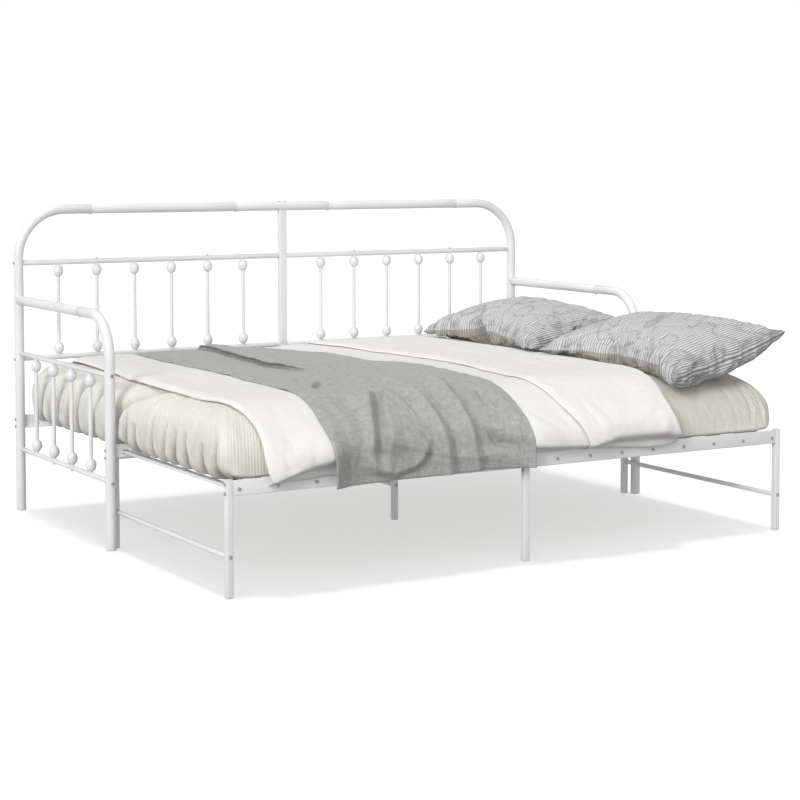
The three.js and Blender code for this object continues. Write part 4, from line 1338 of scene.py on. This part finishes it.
# ------------------------------------------------------------------ pillows
def pillow_cloth(name, W, L, cell, frames, pressure, seed):
    """Two panels sewn all round and filled: the local shape, with stripes' coordinates. z is up, y is the long side."""
    nu, nv = int(round(W / cell)), int(round(L / cell))
    verts, index = [], {}
    for lay in (0, 1):
        for i in range(nv + 1):
            for j in range(nu + 1):
                rim = i in (0, nv) or j in (0, nu)
                if lay == 1 and rim:
                    index[(1, i, j)] = index[(0, i, j)]
                    continue
                x, y = W * (j / nu - 0.5), L * (i / nv - 0.5)
                u, v = abs(2 * j / nu - 1), abs(2 * i / nv - 1)
                t = 0.030 * ((1 - u ** 3) * (1 - v ** 3)) ** 0.6
                z = (t if lay == 0 else -t) if not rim else 0.0
                z += 0.0015 * vnoise(x * 40, y * 40, seed + lay) * (0 if rim else 1)
                index[(lay, i, j)] = len(verts)
                verts.append((x, y, z))
    faces, fuv, fm = [], [], []
    for lay in (0, 1):
        for i in range(nv):
            for j in range(nu):
                q = [(i, j), (i, j + 1), (i + 1, j + 1), (i + 1, j)]
                if lay == 1:
                    q = q[::-1]
                faces.append([index[(lay, a, b)] for a, b in q])
                fuv.append([(W * b / nu, L * a / nv) for a, b in q])
                # the lower panel takes the painted-shade copy of the stripe, except near the front end
                fm.append(lay if i / nv > 0.16 else 0)
    verts = np.array(verts)
    me = bpy.data.meshes.new(name + "_sim")
    me.from_pydata(verts.tolist(), [], faces)
    me.update()
    o = bpy.data.objects.new(name + "_sim", me)
    scene.collection.objects.link(o)
    cm = o.modifiers.new("cloth", "CLOTH")
    st = cm.settings
    st.quality = 7
    st.mass = 0.25
    st.tension_stiffness = st.compression_stiffness = 28
    st.shear_stiffness = 9
    st.bending_stiffness = 0.35
    st.tension_damping = st.compression_damping = 18
    st.shear_damping = 8
    st.bending_damping = 1.0
    st.air_damping = 2.0
    st.use_pressure = True
    st.uniform_pressure_force = pressure
    st.effector_weights.gravity = 0
    cm.collision_settings.use_collision = False
    cm.collision_settings.use_self_collision = False
    cm.point_cache.frame_start, cm.point_cache.frame_end = 1, frames
    for fr in range(1, frames + 1):
        scene.frame_set(fr)
    dg = bpy.context.evaluated_depsgraph_get()
    ev = o.evaluated_get(dg)
    out = np.zeros(len(verts) * 3)
    ev.data.vertices.foreach_get("co", out)
    out = out.reshape(-1, 3)
    bpy.data.objects.remove(o)
    bpy.data.meshes.remove(me)
    scene.frame_set(1)
    return out, faces, fuv, fm


def lay_pillow(v, centre, size, tilt, yaw, droop, thick, end_drop=0.0):
    """Lays a filled pillow down: sized, tilted, its corners drooping, flat where it meets the cover and the mattress."""
    v = v.copy()
    lo, hi = v.min(0), v.max(0)
    v -= (lo + hi) / 2
    k = np.array([size[0] / (hi - lo)[0], size[1] / (hi - lo)[1], thick / (hi - lo)[2]])
    v *= k
    x, y, z = v[:, 0], v[:, 1], v[:, 2]
    u, w = x / (size[0] / 2), y / (size[1] / 2)
    h = thick / 2
    z = np.sign(z) * h * np.abs(z / h) ** 0.74
    z = np.where(z < 0, z * 1.15, z)
    z = z - end_drop * (1 - u * u) * smooth(0.45, 1.0, -w)
    for (su, sw), amt in droop.items():
        corner = np.clip(0.5 * (1 + su * u), 0, 1) ** 2 * np.clip(0.5 * (1 + sw * w), 0, 1) ** 2
        z = z + amt * corner
    z = z + x * math.tan(tilt)
    c, s_ = math.cos(yaw), math.sin(yaw)
    xx, yy = c * x - s_ * y + centre[0], s_ * x + c * y + centre[1]
    z = z + centre[2]
    # what it rests on: the folded duvet, then the mattress, falling away over the front
    sf = np.interp(-yy, -SEC_Q[:, 0], SEC_S)
    ground = np.interp(sf, SEC_S, SEC_Q[:, 1])
    cover = smooth(1.665, 1.625, xx)
    ground = ground + 0.0015 + cover * 0.0375
    k_ = 0.006
    t = (z - ground) / k_
    z = ground + k_ * np.where(t > 30, t, np.log1p(np.exp(np.clip(t, -50, 30))))
    return np.c_[xx, yy, z]


def crumple(o, W, L, seed):
    """Fine creases: short ones across the seams, and a scatter over the panels, from the panel coordinates; also the
    painted shade in the deepest of them.
    """
    me = o.data
    n = len(me.vertices)
    uv = np.zeros((len(me.loops), 2))
    me.uv_layers[0].data.foreach_get("uv", uv.ravel())
    flat = uv.ravel().copy()
    me.uv_layers[0].data.foreach_get("uv", flat)
    uv = flat.reshape(-1, 2)
    vi = np.zeros(len(me.loops), int)
    me.loops.foreach_get("vertex_index", vi)
    c = np.zeros((n, 2))
    c[vi] = uv
    co = np.zeros(n * 3)
    me.vertices.foreach_get("co", co)
    co = co.reshape(-1, 3)
    no = np.zeros(n * 3)
    me.vertices.foreach_get("normal", no)
    no = no.reshape(-1, 3)
    u, v = c[:, 0], c[:, 1]
    du, dv = np.maximum(np.minimum(u, W - u), 0), np.maximum(np.minimum(v, L - v), 0)
    # across the long seams: ridges whose lines run along u; across the short seams: along v
    a = (1 - np.abs(vnoise(v * 42 + 0.8 * vnoise(u * 9, v * 9, seed + 1), u * 7, seed))) ** 2
    b = (1 - np.abs(vnoise(u * 42 + 0.8 * vnoise(u * 9, v * 9, seed + 2), v * 7, seed + 5))) ** 2
    ka = np.exp(-(du / 0.060) ** 1.5) * (0.5 + 0.5 * smooth(0, 0.012, du))
    kb = np.exp(-(dv / 0.050) ** 1.5) * (0.5 + 0.5 * smooth(0, 0.012, dv))
    r1 = (1 - np.abs(vnoise(u * 13 + v * 8, v * 15 - u * 6, seed + 9))) ** 3
    r2 = (1 - np.abs(vnoise(u * 28 - v * 9, v * 22 + u * 7, seed + 13))) ** 3
    keep = smooth(0.0, 0.02, np.minimum(du, dv))
    d = 0.0115 * (a * ka - 0.45 * ka) + 0.0080 * (b * kb - 0.45 * kb) + keep * (-0.0056 * r1 - 0.0026 * r2 + 0.0018)
    d = d * smooth(0.008, 0.055, np.hypot(du, dv))
    co = co + no * d[:, None]
    # painted shade: darkening in the deepest crumples by the seams and over the panels
    deep = 0.85 * ka * np.clip((0.50 - a) / 0.50, 0, 1) ** 1.5 + 0.60 * kb * np.clip((0.45 - b) / 0.45, 0, 1) ** 1.5
    deep += keep * (0.75 * np.clip((r1 - 0.62) / 0.38, 0, 1) + 0.45 * np.clip((r2 - 0.66) / 0.34, 0, 1))
    set_crease_shade(o, deep)
    me.vertices.foreach_set("co", co.ravel())
    me.update()


def build_pillow(name, node_name, centre, size, thick, tilt, yaw, droop, seed, end_drop=0.0):
    v, faces, fuv, fm = pillow_cloth(name, 0.50, 0.76, 0.0085, 36, 4.5, seed)
    v = lay_pillow(v, centre, size, tilt, yaw, droop, thick, end_drop)
    o = make(name, v, faces, [PILLOW_TOP, PILLOW_SHADED_UNDERSIDE], 180, face_uv=fuv, face_mat=fm)
    sub = o.modifiers.new("sub", "SUBSURF")
    sub.levels = sub.render_levels = 1
    bake_mods(o)
    crumple(o, 0.50, 0.76, seed)
    register(o, "main_frame", "pillow_cotton", node_name)
    return o


mattress = build_mattress()
duvet = build_duvet()
throw = build_throw()
pillow_rear = build_pillow("pillow_rear_soft", "pillow_rear", (1.800, 0.330, 0.612), (0.480, 0.700), 0.190, 0.05, 0.03, {(-1, 1): -0.034, (-1, -1): -0.045, (1, 1): 0.012, (1, -1): -0.01}, 11, 0.02)
pillow_front = build_pillow("pillow_front_soft", "pillow_front", (1.818, -0.440, 0.610), (0.480, 0.755), 0.180, 0.13, 0.02, {(-1, 1): -0.030, (-1, -1): -0.052, (1, 1): -0.014, (1, -1): 0.02}, 29, 0.036)

for p in (mattress, duvet, throw, pillow_rear, pillow_front):
    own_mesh(p)

# ------------------------------------------------------------------ stage, light, camera
TOP_SKY, LOW_SKY = 0.40, 0.28
LOBE, LOBE_EXP, LOBE_DIR = 0.95, 6.0, (-0.55, -0.76, 0.50)
FLOOR_A, FLOOR_E = 0.78, 0.480


def floor():
    me = bpy.data.meshes.new("studio_floor")
    R_ = 60.0
    me.from_pydata([(-R_, -R_, 0), (R_, -R_, 0), (R_, R_, 0), (-R_, R_, 0)], [], [(0, 1, 2, 3)])
    o = bpy.data.objects.new("studio_floor", me)
    scene.collection.objects.link(o)
    m = bpy.data.materials.new("studio_floor")
    m.use_nodes = True
    nt = m.node_tree
    nt.nodes.clear()
    out = nt.nodes.new("ShaderNodeOutputMaterial")
    d = node(nt, "ShaderNodeBsdfDiffuse")
    d.inputs["Color"].default_value = (FLOOR_A, FLOOR_A, FLOOR_A, 1)
    e = node(nt, "ShaderNodeEmission")
    e.inputs["Color"].default_value = (1, 1, 1, 1)
    e.inputs["Strength"].default_value = FLOOR_E
    a = node(nt, "ShaderNodeAddShader")
    nt.links.new(d.outputs[0], a.inputs[0])
    nt.links.new(e.outputs[0], a.inputs[1])
    nt.links.new(a.outputs[0], out.inputs["Surface"])
    me.materials.append(m)
    o.visible_diffuse = False
    return o


floor()
world = bpy.data.worlds.new("studio")
scene.world = world
world.use_nodes = True
nt = world.node_tree
nt.nodes.clear()
wo = nt.nodes.new("ShaderNodeOutputWorld")
bg = nt.nodes.new("ShaderNodeBackground")
tc = nt.nodes.new("ShaderNodeTexCoord")
sp = nt.nodes.new("ShaderNodeSeparateXYZ")
nt.links.new(tc.outputs["Generated"], sp.inputs[0])
# white round the horizon, a soft bright side from the front left, dimmer below, where the floor hides it
mr = nt.nodes.new("ShaderNodeMapRange")
mr.inputs["From Min"].default_value = -0.10
mr.inputs["From Max"].default_value = -0.025
mr.inputs["To Min"].default_value = LOW_SKY
mr.inputs["To Max"].default_value = 1.0
nt.links.new(sp.outputs[2], mr.inputs["Value"])
mt = nt.nodes.new("ShaderNodeMapRange")
mt.interpolation_type = "SMOOTHSTEP"
mt.inputs["From Min"].default_value = 0.12
mt.inputs["From Max"].default_value = 0.24
mt.inputs["To Min"].default_value = 0.0
mt.inputs["To Max"].default_value = 1.0 - TOP_SKY
nt.links.new(sp.outputs[2], mt.inputs["Value"])
dt = nt.nodes.new("ShaderNodeVectorMath")
dt.operation = "DOT_PRODUCT"
nt.links.new(tc.outputs["Generated"], dt.inputs[0])
dt.inputs[1].default_value = Vector(LOBE_DIR).normalized()
lobe = math_node(nt, "MULTIPLY", math_node(nt, "POWER", math_node(nt, "MAXIMUM", dt.outputs["Value"], 0.0), LOBE_EXP), LOBE)
s1_ = math_node(nt, "SUBTRACT", mr.outputs[0], mt.outputs[0])
bg.inputs["Color"].default_value = (1, 1, 1, 1)
nt.links.new(math_node(nt, "ADD", s1_, lobe), bg.inputs["Strength"])
nt.links.new(bg.outputs[0], wo.inputs["Surface"])


def sun(name, rot, strength, angle, color=(1, 1, 1)):
    l = bpy.data.lights.new(name, "SUN")
    l.energy, l.angle, l.color = strength, math.radians(angle), color
    o = bpy.data.objects.new(name, l)
    o.rotation_euler = [math.radians(a) for a in rot]
    scene.collection.objects.link(o)
    return o


def aim(o, direction):
    o.rotation_mode = "QUATERNION"
    o.rotation_quaternion = Vector(direction).to_track_quat("-Z", "Y")


over = sun("over", (0, 0, 0), 0.98, 14)
aim(over, (0.0, -0.05, -1.0))
key = sun("key", (0, 0, 0), 1.45, 20)
aim(key, (0.80, 0.50, -0.46))
# the side light is for the bed alone: the floor's soft patch comes from the light above
lit = bpy.data.collections.new("key_receivers")
lit.objects.link(bpy.data.objects["studio_floor"])
lit.collection_objects[0].light_linking.link_state = "EXCLUDE"
key.light_linking.receiver_collection = lit

cam_d = bpy.data.cameras.new("camera")
cam = bpy.data.objects.new("camera", cam_d)
scene.collection.objects.link(cam)
cam_d.sensor_width = 36
cam_d.sensor_fit = "HORIZONTAL"
cam_d.lens = 36 * 1961.1791 / 800
cam_d.shift_y = -0.15
cam_d.dof.use_dof = False
cam_d.clip_start, cam_d.clip_end = 0.05, 300
cam.location = (-2.3225 + OX, -5.7212 + OY, 1.240)
cam.rotation_euler = (PI / 2 - 0.0633, 0.0, -0.5333)
scene.camera = cam

scene.view_settings.view_transform = "Standard"
scene.view_settings.look = "None"
scene.view_settings.exposure = 0.0
scene.view_settings.gamma = 1.0
